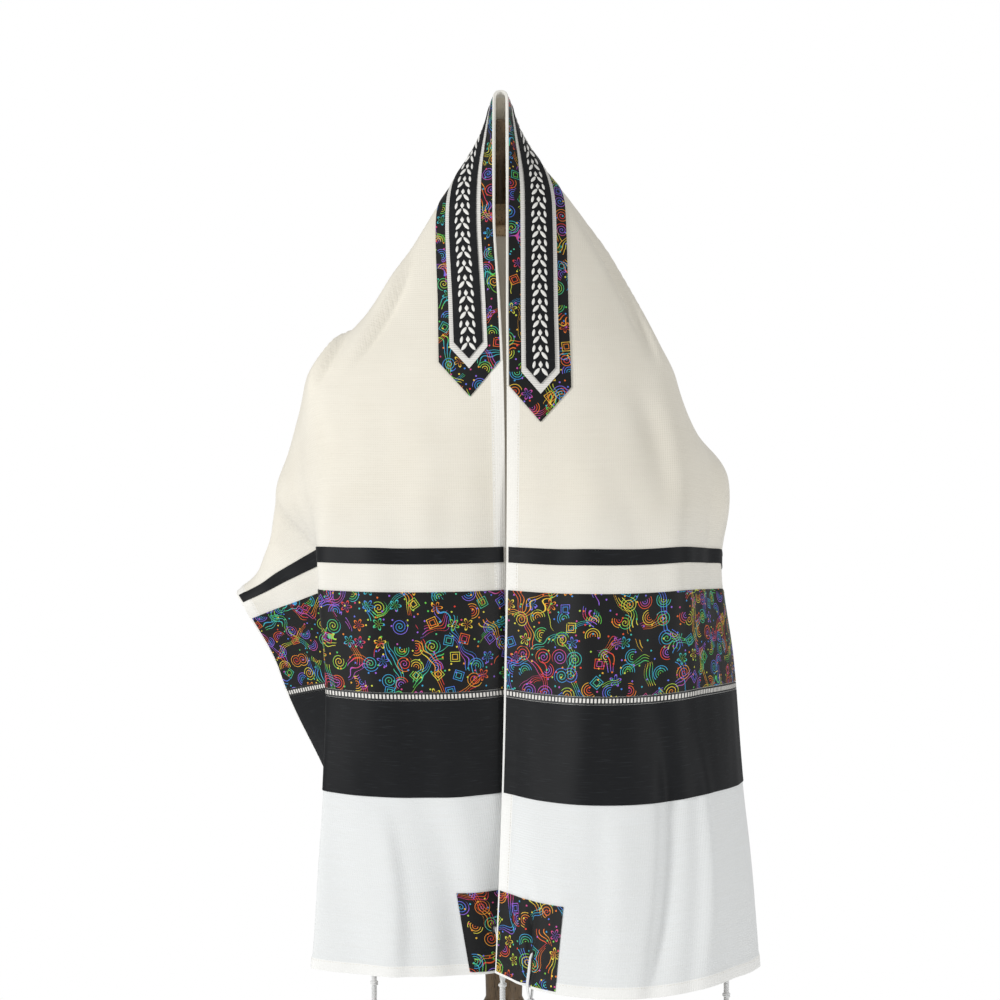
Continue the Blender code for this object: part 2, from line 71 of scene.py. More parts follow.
bpy.ops.object.camera_add(location=(0, -CAMERA_DISTANCE, CAMERA_HEIGHT),
                          rotation=(math.pi / 2, 0, 0))
camera = bpy.context.object
camera.data.sensor_width = SENSOR_WIDTH
camera.data.lens = SENSOR_WIDTH * PIXELS_PER_SLOPE / PICTURE_SIDE
camera.data.shift_x = (PICTURE_SIDE / 2 - MIDDLE_PIXEL) / PICTURE_SIDE
bpy.context.scene.camera = camera
print("lens", round(camera.data.lens, 1), "mm")

# %% [markdown]
# ## Floor and light
# A white studio: a round of pale paper under the form, white all round, and two large soft
# boxes in front, the stronger one on the left, with a weak one behind to light the edges.
# The shadows stay soft, so the creases show as pale grey.

# %% Floor, world and soft boxes
FLOOR_RADIUS = 1.8
WORLD_SEEN = 1.0
WORLD_LIGHT = 0.34
SOFT_BOXES = (
    # name, place, size, power
    ("key", (-2.8, -2.1, 2.0), 1.0, 82),
    ("fill", (2.9, -1.8, 1.4), 1.6, 38),
    ("rim", (0.8, 2.6, 2.4), 1.6, 16),
)
AIM_POINT = Vector((0, 0, 1.2))


def linear(hex_colour):
    """An sRGB hex value as the linear colour that shaders take."""
    parts = [int(hex_colour[at:at + 2], 16) / 255 for at in (0, 2, 4)]
    return tuple(part / 12.92 if part <= 0.04045 else ((part + 0.055) / 1.055) ** 2.4
                 for part in parts) + (1.0,)


def add_node(tree, kind, values=None, links=None, **settings):
    """One node with its settings, the values of its sockets and the links into them.

    A link comes from another node's socket or from a formula. A formula is an operation and
    its terms in brackets, such as ("ADD", socket, 2.0), and each of them is a node too.
    """
    node = tree.nodes.new(kind)
    for name, value in settings.items():
        setattr(node, name, value)
    for name, given in {**(values or {}), **(links or {})}.items():
        if isinstance(given, tuple) and isinstance(given[0], str):
            given = add_node(tree, "ShaderNodeMath", links=dict(enumerate(given[1:])),
                             operation=given[0]).outputs[0]
        if isinstance(given, bpy.types.NodeSocket):
            tree.links.new(given, node.inputs[name])
        else:
            node.inputs[name].default_value = given
    return node


def new_material(name, **values):
    """A material with its Principled shader's own sockets set."""
    made = bpy.data.materials.new(name)
    made.use_nodes = True
    shader = made.node_tree.nodes["Principled BSDF"]
    for socket, value in values.items():
        shader.inputs[socket.replace("_", " ")].default_value = value
    return made, made.node_tree, shader


def link_up(shader, **sources):
    """Links into the Principled shader's own sockets."""
    for socket, source in sources.items():
        shader.id_data.links.new(source, shader.inputs[socket.replace("_", " ")])


floor_paper, _, _ = new_material(
    "matt_white_studio_paper", Base_Color=linear("F4F4F4"), Roughness=0.9,
    Emission_Color=(1, 1, 1, 1), Emission_Strength=0.25)
bpy.ops.mesh.primitive_circle_add(vertices=128, radius=FLOOR_RADIUS, fill_type="NGON",
                                  location=(0, 0, 0))
floor = bpy.context.object
floor.name = "studio_floor"
floor.data.materials.append(floor_paper)

world = bpy.data.worlds.new("white_studio")
world.use_nodes = True
sky = world.node_tree
sky.nodes.clear()
seen = add_node(sky, "ShaderNodeBackground", {"Color": (1, 1, 1, 1), "Strength": WORLD_SEEN})
light = add_node(sky, "ShaderNodeBackground", {"Color": (1, 1, 1, 1), "Strength": WORLD_LIGHT})
rays = add_node(sky, "ShaderNodeLightPath")
both = add_node(sky, "ShaderNodeMixShader", links={
    0: rays.outputs["Is Camera Ray"], 1: light.outputs[0], 2: seen.outputs[0]})
add_node(sky, "ShaderNodeOutputWorld", links={"Surface": both.outputs[0]})
bpy.context.scene.world = world
bpy.context.scene.view_settings.view_transform = "Standard"

for name, place, size, power in SOFT_BOXES:
    bpy.ops.object.light_add(type="AREA", location=place)
    box = bpy.context.object
    box.name = name + "_soft_box"
    box.data.shape = "DISK"
    box.data.size = size
    box.data.energy = power
    box.rotation_euler = (AIM_POINT - Vector(place)).to_track_quat("-Z", "Y").to_euler()
print("soft boxes:", len(SOFT_BOXES))

# %% [markdown]
# ## The drape
# The shawl is one length of wool, two metres by fifty-five centimetres, hung by the middle
# of its neck edge over the finial. A cloth simulation would give a drape, but not this one,
# so the drape is worked out as a tailor would read it: every section across the cloth is a
# chain of front, side and rear, each with its heading and its dip. The solids use the same
# tables, so each shell lies where its solid does.

# %% Sizes of the cloth and the drape's tables
PEAK_HEIGHT = 166 * CM
HALF_LENGTH = 100 * CM
WIDTH = 55 * CM
EDGE_GAP = 0.6 * CM
THIN_STRIPE = (53.7 * CM, 55.4 * CM)
PRINT_BAND = (58.4 * CM, 69.1 * CM)
LADDER_RIBBON = (69.15 * CM, 69.95 * CM)
DUPION_BAND = (70.0 * CM, 80.4 * CM)
PATCH_SIDE = 9.0 * CM
NECKBAND_ACROSS = (0.3 * CM, 7.1 * CM)
RIBBON_ACROSS = (1.6 * CM, 5.8 * CM)
CENTRE_ACROSS = (2.1 * CM, 5.3 * CM)
NECKBAND_SHOULDER = {-1: 33.3 * CM, 1: 36.1 * CM}
NECKBAND_POINT = 3.9 * CM
HOLE_SIDE = 0.8 * CM
HOLES = {
    "tassel_front_left": (-1, 95.2 * CM, 5.4 * CM),
    "tassel_front_right": (1, 96.6 * CM, 5.4 * CM),
    "tassel_rear_left": (-1, 95.2 * CM, 52.5 * CM),
    "tassel_rear_right": (1, 95.2 * CM, 52.5 * CM),
}
COLUMNS = ("along", "edge_depth", "front_start", "front_end", "sag", "turn_at", "turn_width",
           "side", "side_dip", "rear_at", "rear_width", "rear", "rear_dip")
LEFT_SECTIONS = (
    (0.0, -1.2, 60, 90, 60, 0.9, 1.4, 90, 65, 28.0, 14, 90, 84),
    (15.0, -6.2, 10, 36, 2, 8.2, 5.0, 88, 53, 31.0, 14, 98, 65),
    (27.0, -10.2, 6, 40, 2, 17.0, 5.5, 88, 43, 33.0, 14, 142, 62),
    (34.0, -11.6, 0, 38, 2, 23.7, 6.5, 78, 32, 38.0, 12, 166, 57),
    (44.0, -12.3, -14, 34, 1, 21.1, 8.0, 66, 9, 39.0, 12, 98, 46),
    (56.5, -12.5, -26, 26, 2, 21.5, 3.0, 92, 1, 41.5, 8, 30, 21),
    (67.0, -12.3, -28, 28, 4, 21.2, 2.0, 100, 0, 41.5, 8, 36, 11),
    (80.0, -11.8, -24, 18, 6, 22.4, 2.0, 103, 0, 41.5, 9, 64, 10),
    (100.0, -10.6, -20, 8, 7, 26.5, 2.0, 106, 0, 43.6, 10, 96, 3),
)
RIGHT_SECTIONS = (
    (0.0, -1.2, 60, 90, 60, 0.9, 1.4, 90, 65, 28.0, 14, 90, 84),
    (15.0, -6.2, 10, 36, 2, 9.6, 5.0, 88, 53, 31.0, 14, 98, 65),
    (27.0, -10.2, 6, 40, 2, 16.7, 5.5, 88, 43, 33.0, 14, 142, 62),
    (34.0, -11.6, 0, 38, 2, 20.5, 6.5, 84, 32, 38.0, 12, 166, 57),
    (44.0, -12.4, -14, 34, 1, 21.2, 8.0, 60, 11, 34.0, 12, 112, 36),
    (54.5, -13.0, -30, 30, 3, 20.4, 6.0, 66, 2, 34.0, 9, 98, 18),
    (67.0, -13.2, -38, 36, 6, 22.2, 4.0, 62, 0, 34.0, 9, 99, 6),
    (80.0, -13.2, -46, 38, 8, 24.3, 3.0, 60, 0, 34.5, 9, 99, 1),
    (100.0, -13.8, -60, 42, 10, 28.8, 2.5, 54, 0, 36.5, 9, 99, 0),
)
SECTIONS = {-1: LEFT_SECTIONS, 1: RIGHT_SECTIONS}
STEEP_AT_PEAK = ("turn_at", "edge_depth")
# How far each front edge is drawn to its own side, beside the gap at the peak, in cm, one
# pair for each place: along, out. Low on the front both are drawn across the middle, and the
# left edge lies behind the right one.
EDGE_LINES = {
    -1: ((0, 0.4), (15, 0.4), (27, -0.2), (34, -0.5), (44, -0.7), (55, -0.85), (67, -1.2),
         (80, -2.5), (100, -5.6)),
    1: ((0, -0.4), (15, -0.38), (27, -0.38), (34, -0.32), (44, -0.27), (55, -0.25), (67, -0.45),
        (80, -0.75), (100, -1.4)),
}


def ease(value):
    """A soft step from 0 to 1 while the value goes from 0 to 1."""
    value = np.clip(value, 0.0, 1.0)
    return value * value * (3.0 - 2.0 * value)


def smooth_curve(x, y, at, steep_start=False):
    """Values of a smooth curve without overshoot through the given points."""
    rise = np.diff(y) / np.diff(x)
    slope = np.zeros(len(x))
    for row in range(1, len(x) - 1):
        before, after = rise[row - 1], rise[row]
        if before * after > 0:
            slope[row] = 2 * before * after / (before + after)
    slope[0] = rise[0] if steep_start else 0.0
    slope[-1] = rise[-1]
    at = np.clip(at, 0.0, x[-1])
    row = np.clip(np.searchsorted(x, at, side="right") - 1, 0, len(x) - 2)
    span = x[row + 1] - x[row]
    t = (at - x[row]) / span
    return (y[row] * (1 + 2 * t) * (1 - t) ** 2 + slope[row] * span * t * (1 - t) ** 2
            + y[row + 1] * t * t * (3 - 2 * t) + slope[row + 1] * span * t * t * (t - 1))


def read_column(side, name, along):
    """Value of one column of the sections' table at any distances along."""
    table = np.array(SECTIONS[side], dtype=float)
    return smooth_curve(table[:, 0] * CM, table[:, COLUMNS.index(name)], along,
                        name in STEEP_AT_PEAK)


def neck_edge(side, step=0.1 * CM):
    """The neck edge, from the peak down the middle of the front, at its true length."""
    marks = np.arange(0.0, HALF_LENGTH + step, step)
    line = np.array(EDGE_LINES[side], dtype=float) * CM
    out = EDGE_GAP * np.tanh(marks / EDGE_GAP) + smooth_curve(line[:, 0], line[:, 1], marks)
    depth = read_column(side, "edge_depth", marks) * CM
    fall = np.diff(marks) ** 2 - np.diff(out) ** 2 - np.diff(depth) ** 2
    drop = np.concatenate(([0.0], np.cumsum(np.sqrt(np.maximum(fall, 0.0)))))
    return marks, np.stack((out, depth, -drop), 1)


NECK_EDGES = {side: neck_edge(side) for side in (-1, 1)}


def section(side, along, across, step=0.1 * CM):
    """Points of one section of the cloth, at the distances across from the neck edge."""
    value = {name: float(read_column(side, name, along)) for name in COLUMNS[1:]}
    marks = np.arange(0.0, WIDTH + step, step)
    t = np.clip(marks / (value["turn_at"] * CM), 0.0, 1.0)
    heading = value["front_start"] + (value["front_end"] - value["front_start"]) * t
    dip = value["sag"] * (1.0 - 2.0 * t)
    for name in ("turn", "side"), ("rear", "rear"):
        start = value[name[0] + "_at"] * CM
        share = ease((marks - start) / (value[name[0] + "_width"] * CM) + 0.5)
        heading = heading + (value[name[1]] - heading) * share
        dip = dip + (value[name[1] + "_dip"] - dip) * share
    heading, dip = np.radians(heading), np.radians(dip)
    level = np.cos(dip)
    way = np.stack((level * np.cos(heading), level * np.sin(heading), -np.sin(dip)), 1)
    path = np.vstack((np.zeros(3), np.cumsum((way[1:] + way[:-1]) * 0.5 * step, axis=0)))
    edge_marks, edge = NECK_EDGES[side]
    path += [np.interp(along, edge_marks, edge[:, axis]) for axis in range(3)]
    points = np.stack([np.interp(across, marks, path[:, axis]) for axis in range(3)], 1)
    points[:, 0] *= side
    points[:, 2] += PEAK_HEIGHT
    return points


# %% [markdown]
# ## Creases
# The wool is soft but keeps the marks of how it was folded and lifted on. Each crease is a
# soft trough or ridge along a line drawn on the flat cloth, with its own length, width and
# depth. The hems are turned once, so they stand a little proud of the cloth beside them.

# %% The relief of the cloth
CREASE_COLUMNS = ("side", "along", "across", "to_along", "to_across", "width", "height", "steep")
CREASES = (
    # left front: two pleats from the neckband to the shoulder, then soft troughs to the flap
    (-1, 19.0, 10.4, 35.5, 20.2, 1.5, 7.0, 0.32),
    (-1, 19.0, 9.4, 35.5, 19.2, 0.6, -4.0, 1.0),
    (-1, 27.5, 19.0, 37.0, 24.6, 1.2, 6.0, 0.36),
    (-1, 27.5, 18.0, 37.0, 23.6, 0.6, -3.5, 1.0),
    (-1, 36.0, 13.0, 54.0, 17.0, 2.0, -3.2, 1.0),
    (-1, 38.0, 8.5, 56.0, 10.5, 2.2, 2.6, 1.0),
    (-1, 60.0, 9.0, 82.0, 10.0, 2.4, -2.6, 1.0),
    (-1, 58.0, 16.5, 80.0, 17.0, 1.6, 2.2, 1.0),
    (-1, 79.0, 16.0, 103.0, 18.0, 1.8, 6.5, 0.5),
    (-1, 80.0, 9.5, 104.0, 11.5, 1.8, -5.0, 1.0),
    # right front
    (1, 13.0, 8.6, 35.0, 19.5, 1.5, 7.0, 0.32),
    (1, 13.0, 7.5, 35.0, 18.4, 0.6, -4.5, 1.0),
    (1, 34.0, 14.0, 53.0, 19.0, 1.6, -3.8, 1.0),
    (1, 42.0, 8.5, 57.0, 10.0, 2.2, 2.6, 1.0),
    (1, 46.0, 13.0, 57.0, 14.5, 1.6, -2.4, 1.0),
    (1, 60.0, 15.0, 81.0, 16.6, 1.8, -2.8, 1.0),
    (1, 62.0, 9.0, 80.0, 10.0, 2.2, 2.2, 1.0),
    (1, 68.0, 17.6, 106.0, 18.6, 1.8, -10.0, 0.6),
    (1, 70.0, 22.0, 106.0, 24.5, 1.5, 6.0, 0.6),
    (1, 88.0, 4.2, 106.0, 4.4, 0.6, -6.5, 1.0),
    (1, 82.0, 7.4, 104.0, 8.2, 1.2, 2.8, 1.0),
    (1, 76.0, 12.5, 106.0, 13.2, 1.8, 5.0, 0.6),
    # sides
    (-1, 44.0, 27.0, 75.0, 28.0, 1.8, -4.6, 1.0),
    (-1, 56.0, 33.0, 97.0, 32.5, 2.0, 3.8, 1.0),
    (-1, 60.0, 38.0, 96.0, 37.5, 1.5, -3.4, 1.0),
    (1, 40.0, 26.0, 98.0, 31.0, 2.0, -4.4, 1.0),
    (1, 58.0, 36.0, 99.0, 37.0, 1.8, 3.8, 1.0),
    # back, falling from the peak
    (-1, 3.0, 30.0, 16.0, 54.0, 1.4, -4.6, 1.0),
    (-1, 9.0, 22.0, 27.0, 50.0, 1.3, 4.2, 0.6),
    (-1, 18.0, 20.0, 37.0, 46.0, 1.4, -4.8, 1.0),
    (-1, 26.0, 28.0, 44.0, 52.0, 1.5, 4.0, 0.6),
    (1, 2.0, 34.0, 11.0, 54.0, 1.2, -4.2, 1.0),
    (1, 8.0, 22.0, 23.0, 48.0, 1.4, 4.4, 0.6),
    (1, 15.0, 20.0, 33.0, 49.0, 1.3, -4.6, 1.0),
    (1, 25.0, 26.0, 42.0, 53.0, 1.6, 4.0, 0.6),
    (-1, 62.0, 49.0, 98.0, 50.0, 1.6, -3.2, 1.0),
    (1, 62.0, 47.0, 98.0, 46.0, 1.6, 3.2, 1.0),
)
FRONT_HEM = 1.4 * CM
END_HEM = 1.2 * CM
HEM_RISE = 0.7 * MM
HEM_STEP = 2 * MM
HEM_PUCKER = 0.25 * MM
PUCKER_LENGTH = 11 * MM
PUCKER_REACH = 6 * MM
CREASE_BOW = 0.05
CREASE_FADE = 0.35
HANG_START = 30 * CM
HANG_WAVE = 1.5 * MM
HANG_WAVES = (
    # share, turning across, turning along, start
    (1.0, 61.0, 3.1, 0.0),
    (0.6, 113.0, -5.3, 1.0),
    (0.5, 29.0, 11.0, 2.0),
)


def crease_relief(along, across):
    """Height of all creases, in metres, at places on the flat cloth (signed along)."""
    relief = np.zeros(np.broadcast(along, across).shape)
    for row in CREASES:
        crease = dict(zip(CREASE_COLUMNS, row))
        start = np.array((crease["side"] * crease["along"], crease["across"])) * CM
        end = np.array((crease["side"] * crease["to_along"], crease["to_across"])) * CM
        way = end - start
        length = np.linalg.norm(way)
        way = way / length
        down = (along - start[0]) * way[0] + (across - start[1]) * way[1]
        beside = (across - start[1]) * way[0] - (along - start[0]) * way[1]
        bow = CREASE_BOW * length * np.sin(np.pi * np.clip(down / length, 0, 1))
        fade_length = CREASE_FADE * length
        fade = ease(down / fade_length) * ease((length - down) / fade_length)
        off = (beside - bow) * crease["side"]
        width = np.where(off < 0, crease["steep"], 1.0) * crease["width"] * CM
        relief += crease["height"] * MM * fade * np.exp(-(off / width) ** 2)
    return relief


def puckers(mark, wander, quickness, off_seam):
    """Puckers at uneven steps along a seam, which die away beside it."""
    wave = np.sin(2 * np.pi * (mark + wander * np.sin(mark * quickness)) / PUCKER_LENGTH)
    return HEM_PUCKER * wave * np.exp(-(off_seam / PUCKER_REACH) ** 2)


def hem_relief(along, across):
    """The turned hems: a step up, with the small puckers that the stitching makes."""
    off_front = np.minimum(across, WIDTH - across) - FRONT_HEM
    off_end = HALF_LENGTH - np.abs(along) - END_HEM
    inside = np.maximum(1 - ease(off_front / HEM_STEP + 0.5), 1 - ease(off_end / HEM_STEP + 0.5))
    return (inside * HEM_RISE + puckers(along, 0.4, 31.0, off_front)
            + puckers(across, 0.004, 90.0, off_end))


def hang_relief(along, across):
    """The slow, slight waves of cloth that hangs free."""
    loose = ease((np.abs(along) - HANG_START) / HANG_START)
    wave = sum(share * np.sin(across * across_turns + along * along_turns + start)
               for share, across_turns, along_turns, start in HANG_WAVES)
    return loose * wave * HANG_WAVE


# %% Fine table of the whole cloth
TABLE_STEP = 0.25 * CM
table_along = np.linspace(-HALF_LENGTH, HALF_LENGTH, round(2 * HALF_LENGTH / TABLE_STEP) + 1)
table_across = np.linspace(0.0, WIDTH, round(WIDTH / TABLE_STEP) + 1)


def table_normals(points):
    """Unit normals of a table of points, out of the cloth's outer face."""
    down = np.gradient(points, axis=0)
    wide = np.gradient(points, axis=1)
    normal = np.cross(down, wide)
    return normal / np.linalg.norm(normal, axis=2)[:, :, None]


smooth_cloth = np.array([section(-1 if along < 0 else 1, abs(along), table_across)
                         for along in table_along])
flat_along, flat_across = np.meshgrid(table_along, table_across, indexing="ij")
relief = (crease_relief(flat_along, flat_across) + hem_relief(flat_along, flat_across)
          + hang_relief(flat_along, flat_across))
cloth_points = smooth_cloth + table_normals(smooth_cloth) * relief[:, :, None]
cloth_normals = table_normals(cloth_points)
print("cloth table", cloth_points.shape[:2], "relief mm", round(relief.min() / MM, 1),
      round(relief.max() / MM, 1))


def cloth_at(along, across, lift=0.0):
    """Points at places on the flat cloth, lifted off its outer face."""
    row = np.clip((np.asarray(along) + HALF_LENGTH) / TABLE_STEP, 0, len(table_along) - 1.001)
    column = np.clip(np.asarray(across) / TABLE_STEP, 0, len(table_across) - 1.001)
    low_row, low_column = row.astype(int), column.astype(int)
    part_row, part_column = (row - low_row)[..., None], (column - low_column)[..., None]

    def blend(table):
        """Values between the four nearest points of the table."""
        upper, lower = (table[line, low_column] * (1 - part_column)
                        + table[line, low_column + 1] * part_column
                        for line in (low_row, low_row + 1))
        return upper * (1 - part_row) + lower * part_row

    return blend(cloth_points) + blend(cloth_normals) * np.asarray(lift)[..., None]


# %% [markdown]
# ## A shell of cloth
# A sheet is made in mesh code: a grid of places on the flat cloth is sent to the drape for
# the outer face, and a little lower for the inner one, and the rim closes it. The places
# become the shell's UV map in metres, so a weave or a print follows the cloth.

# %% Shells from lines on the flat cloth
SHARP_CLOTH = math.radians(55)


def set_out(mesh, finish):
    """A mesh with its finish as a piece of the same name, which rides on the frame."""
    piece = bpy.data.objects.new(mesh.name, mesh)
    bpy.context.scene.collection.objects.link(piece)
    mesh.materials.append(finish)
    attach(piece, "root")
    return piece


def cloth_shell(name, along, across, lift, thickness, finish, slot, keep=None):
    """A closed shell over a grid of places; along and across are 2-D arrays of places."""
    rows, columns = along.shape
    keep = np.ones((rows - 1, columns - 1), dtype=bool) if keep is None else keep
    outer = cloth_at(along, across, np.full(along.shape, lift + thickness))
    inner = cloth_at(along, across, np.full(along.shape, lift))
    vertices = np.concatenate((outer.reshape(-1, 3), inner.reshape(-1, 3)))
    count = rows * columns
    index = np.arange(count).reshape(rows, columns)
    corners = [index[:-1, :-1], index[1:, :-1], index[1:, 1:], index[:-1, 1:]]
    front = np.stack([corner[keep] for corner in corners], 1)
    faces = [front, front[:, ::-1] + count]
    padded = np.zeros((rows + 1, columns + 1), dtype=bool)
    padded[1:-1, 1:-1] = keep
    beside = (padded[1:-1, :-2], padded[2:, 1:-1], padded[1:-1, 2:], padded[:-2, 1:-1])
    for number, other in enumerate(beside):
        open_side = keep & ~other
        start, end = corners[number][open_side], corners[(number + 1) % 4][open_side]
        faces.append(np.stack((end, start, start + count, end + count), 1))
    faces = np.concatenate(faces)
    mesh = bpy.data.meshes.new(name)
    mesh.from_pydata(vertices.tolist(), [], faces.tolist())
    layer = mesh.uv_layers.new(name="flat_cloth")
    places = np.stack((along.ravel(), across.ravel()), 1)
    loops = np.empty(len(mesh.loops), dtype=np.int32)
    mesh.loops.foreach_get("vertex_index", loops)
    layer.data.foreach_set("uv", places[loops % count].ravel().astype(np.float32))
    build = bmesh.new()
    build.from_mesh(mesh)
    bmesh.ops.delete(build, geom=[v for v in build.verts if not v.link_faces], context="VERTS")
    build.to_mesh(mesh)
    build.free()
    mesh.shade_smooth()
    mesh.set_sharp_from_angle(angle=SHARP_CLOTH)
    return set_out(mesh, finish)


def line_marks(start, end, step, extra=()):
    """Evenly spaced marks from start to end, with extra ones put in and close ones dropped."""
    marks = list(np.linspace(start, end, max(1, round((end - start) / step)) + 1))
    for mark in extra:
        if start < mark < end:
            nearest = min(marks[1:-1] or [start], key=lambda other: abs(other - mark))
            if nearest not in (start, end, *extra) and abs(nearest - mark) < step * 0.6:
                marks.remove(nearest)
            marks.append(mark)
    return np.array(sorted(marks))


def hole_marks(side=None):
    """The edges of the tassel holes: along lines of one side, or across lines."""
    marks = set()
    for hole_side, along, across in HOLES.values():
        if side is None:
            marks |= {across - HOLE_SIDE / 2, across + HOLE_SIDE / 2}
        elif side == hole_side:
            marks |= {side * along - HOLE_SIDE / 2, side * along + HOLE_SIDE / 2}
    return sorted(marks)


def open_holes(along, across):
    """Which cells of a grid of lines are cloth: all but those in a tassel hole."""
    middle_along = (along[:-1] + along[1:]) / 2
    middle_across = (across[:-1] + across[1:]) / 2
    keep = np.ones((len(middle_along), len(middle_across)), dtype=bool)
    for side, hole_along, hole_across in HOLES.values():
        rows = np.abs(middle_along - side * hole_along) < HOLE_SIDE / 2
        columns = np.abs(middle_across - hole_across) < HOLE_SIDE / 2
        keep[np.ix_(rows, columns)] = False
    return keep


# %% [markdown]
# ## Finishes of the cloth
# Wool, silk and ribbon differ in how their threads lie. Wool is matt and slightly hairy, so
# it takes sheen and a soft weave. Dupion silk has thick and thin threads across it, which
# catch the light as fine level streaks. All read the UV map in millimetres.

# %% Woven wool
def flat_millimetres(tree, stretch=(1.0, 1.0)):
    """The places on the flat cloth in millimetres, divided by a stretch along and across."""
    place = add_node(tree, "ShaderNodeUVMap", uv_map="flat_cloth")
    scale = (1 / MM / stretch[0], 1 / MM / stretch[1], 1 / MM)
    return add_node(tree, "ShaderNodeVectorMath", {1: scale}, {0: place.outputs["UV"]},
                    operation="MULTIPLY").outputs["Vector"]


# Fine wool tabby, woven cream: matt, softly hairy, its colour a little uneven. Its threads
# are half a millimetre apart; they are drawn at 1.3 mm, over and under in turn, so the weave
# repeats every 2.6 mm, which is as coarse as it needs to be to show.
WOOL_THREAD = 1.3
wool, tree, shader = new_material("woven_cream_wool", Roughness=0.88, Specular_IOR_Level=0.25,
                                  Sheen_Weight=0.25, Sheen_Roughness=0.5)
cloud = add_node(tree, "ShaderNodeTexNoise", {"Scale": 0.02, "Detail": 4.0},
                 {"Vector": flat_millimetres(tree)})
streak = add_node(tree, "ShaderNodeTexNoise", {"Scale": 1.0, "Detail": 3.0},
                  {"Vector": flat_millimetres(tree, (1.6, 60.0))})
warp, weft = (
    add_node(tree, "ShaderNodeTexWave", {"Scale": 1.0, "Distortion": 0.6},
             {"Vector": flat_millimetres(tree, (2 * WOOL_THREAD * math.pi,) * 2)},
             bands_direction=way).outputs["Fac"]
    for way in "XY")
even = add_node(tree, "ShaderNodeMix", {"A": linear("F5F0E3"), "B": linear("ECE6D7")},
                {"Factor": cloud.outputs["Fac"]}, data_type="RGBA")
# Past the bands, towards the ends, the wool turns a cooler white: painted light, a cool cast on the
# lower cloth.
wool_place = add_node(tree, "ShaderNodeSeparateXYZ", links={0: flat_millimetres(tree)})
far_along = ("ABSOLUTE", wool_place.outputs["X"])
painted_cool_light_at_ends = add_node(tree, "ShaderNodeMapRange", {"From Min": 480.0, "From Max": 760.0},
                    {"Value": far_along})
ends = add_node(tree, "ShaderNodeMix", {"B": linear("EBEEEF")},
                {"Factor": painted_cool_light_at_ends.outputs[0], "A": even.outputs[2]}, data_type="RGBA")
uneven = ("MULTIPLY", streak.outputs["Fac"], 0.22)
streaked = add_node(tree, "ShaderNodeMix", {"B": linear("D3CDBF")},
                    {"Factor": uneven, "A": ends.outputs[2]}, data_type="RGBA")
# A hem is two layers thick, so less shows through it and it looks whiter.
off_side = ("MINIMUM", wool_place.outputs["Y"],
            ("SUBTRACT", WIDTH / MM, wool_place.outputs["Y"]))
off_end = ("SUBTRACT", HALF_LENGTH / MM, far_along)
in_hem = ("MAXIMUM", ("LESS_THAN", off_side, FRONT_HEM / MM),
          ("LESS_THAN", off_end, END_HEM / MM))
hemmed = ("MULTIPLY", 0.7, in_hem)
wool_tone = add_node(tree, "ShaderNodeMix", {"B": linear("FAF9F5")},
                     {"Factor": hemmed, "A": streaked.outputs[2]}, data_type="RGBA")
slub = ("ADD", ("ADD", warp, weft), streak.outputs["Fac"])
weave = add_node(tree, "ShaderNodeBump", {"Strength": 0.25, "Distance": 0.4 * MM},
                 {"Height": slub})
link_up(shader, Base_Color=wool_tone.outputs[2], Normal=weave.outputs["Normal"])
print("finish:", wool.name)

# %% Dupion silk
# Black silk dupion: plain woven from uneven silk, with thick threads that run across the
# piece. It is nearly black with a soft sheen, and its slubs show as level pale streaks.
dupion, tree, shader = new_material("black_dupion_silk", Roughness=0.6, Specular_IOR_Level=0.22,
                                    Sheen_Weight=0.03, Sheen_Roughness=0.4)
fine = add_node(tree, "ShaderNodeTexNoise", {"Scale": 1.0, "Detail": 3.0, "Roughness": 0.6},
                {"Vector": flat_millimetres(tree, (0.8, 18.0))})
slubs = add_node(tree, "ShaderNodeTexNoise", {"Scale": 1.0, "Detail": 2.0},
                 {"Vector": flat_millimetres(tree, (1.4, 22.0))})
thick = add_node(tree, "ShaderNodeMapRange", {"From Min": 0.58, "From Max": 0.80},
                 {"Value": slubs.outputs["Fac"]})
ground = add_node(tree, "ShaderNodeMix", {"A": linear("0B0C0E"), "B": linear("1B1D20")},
                  {"Factor": fine.outputs["Fac"]}, data_type="RGBA")
silk = add_node(tree, "ShaderNodeMix", {"B": linear("26292C")},
                {"Factor": thick.outputs[0], "A": ground.outputs[2]}, data_type="RGBA")
rib = add_node(tree, "ShaderNodeBump", {"Strength": 0.35, "Distance": 0.3 * MM},
               {"Height": ("ADD", fine.outputs["Fac"], thick.outputs[0])})
link_up(shader, Base_Color=silk.outputs[2], Normal=rib.outputs["Normal"])
print("finish:", dupion.name)

# %% [markdown]
# ### The print
# The bands, the neckband's margins and the corners are cut from one printed cotton: thin
# bright strokes in every colour on black. The design here is a plain one of its own: broken
# rings, spirals, flowers and nested squares strewn in cells, with wandering pinstripes behind
# them and dots between. Each motif is drawn from its distance and angle to its cell's middle.

# %% Printed cotton
# Sizes in millimetres, apart from the shares and the level of a noise
MOTIF_CELL = 19.0
RING_STEP = 2.5
SPIRAL_STEP = 3.1
MOTIF_REACH = 9.0
SWEEP_STEP = 3.2
BUNDLE_STEPS = 11.3
BUNDLE_SHARE = 0.27
GAP_LEVEL = 0.47
HUE_RUN = 83.0
DOT_CELL = 8.0
DOT_RADIUS = 0.95
PETAL_REACH = 6.8
PETAL_EDGE = 1.3
SQUARE_REACHES = (2.4, 4.6)
INK_WIDTH = 0.62
INKS = ("E83A2E", "F08A28", "F0DC48", "58CC4A", "38B8C8", "4A7CE8", "A062DC", "E83A2E")

print_cotton, tree, shader = new_material("printed_black_cotton", Roughness=0.62,
                                          Specular_IOR_Level=0.3, Sheen_Weight=0.08)
millimetres = flat_millimetres(tree)


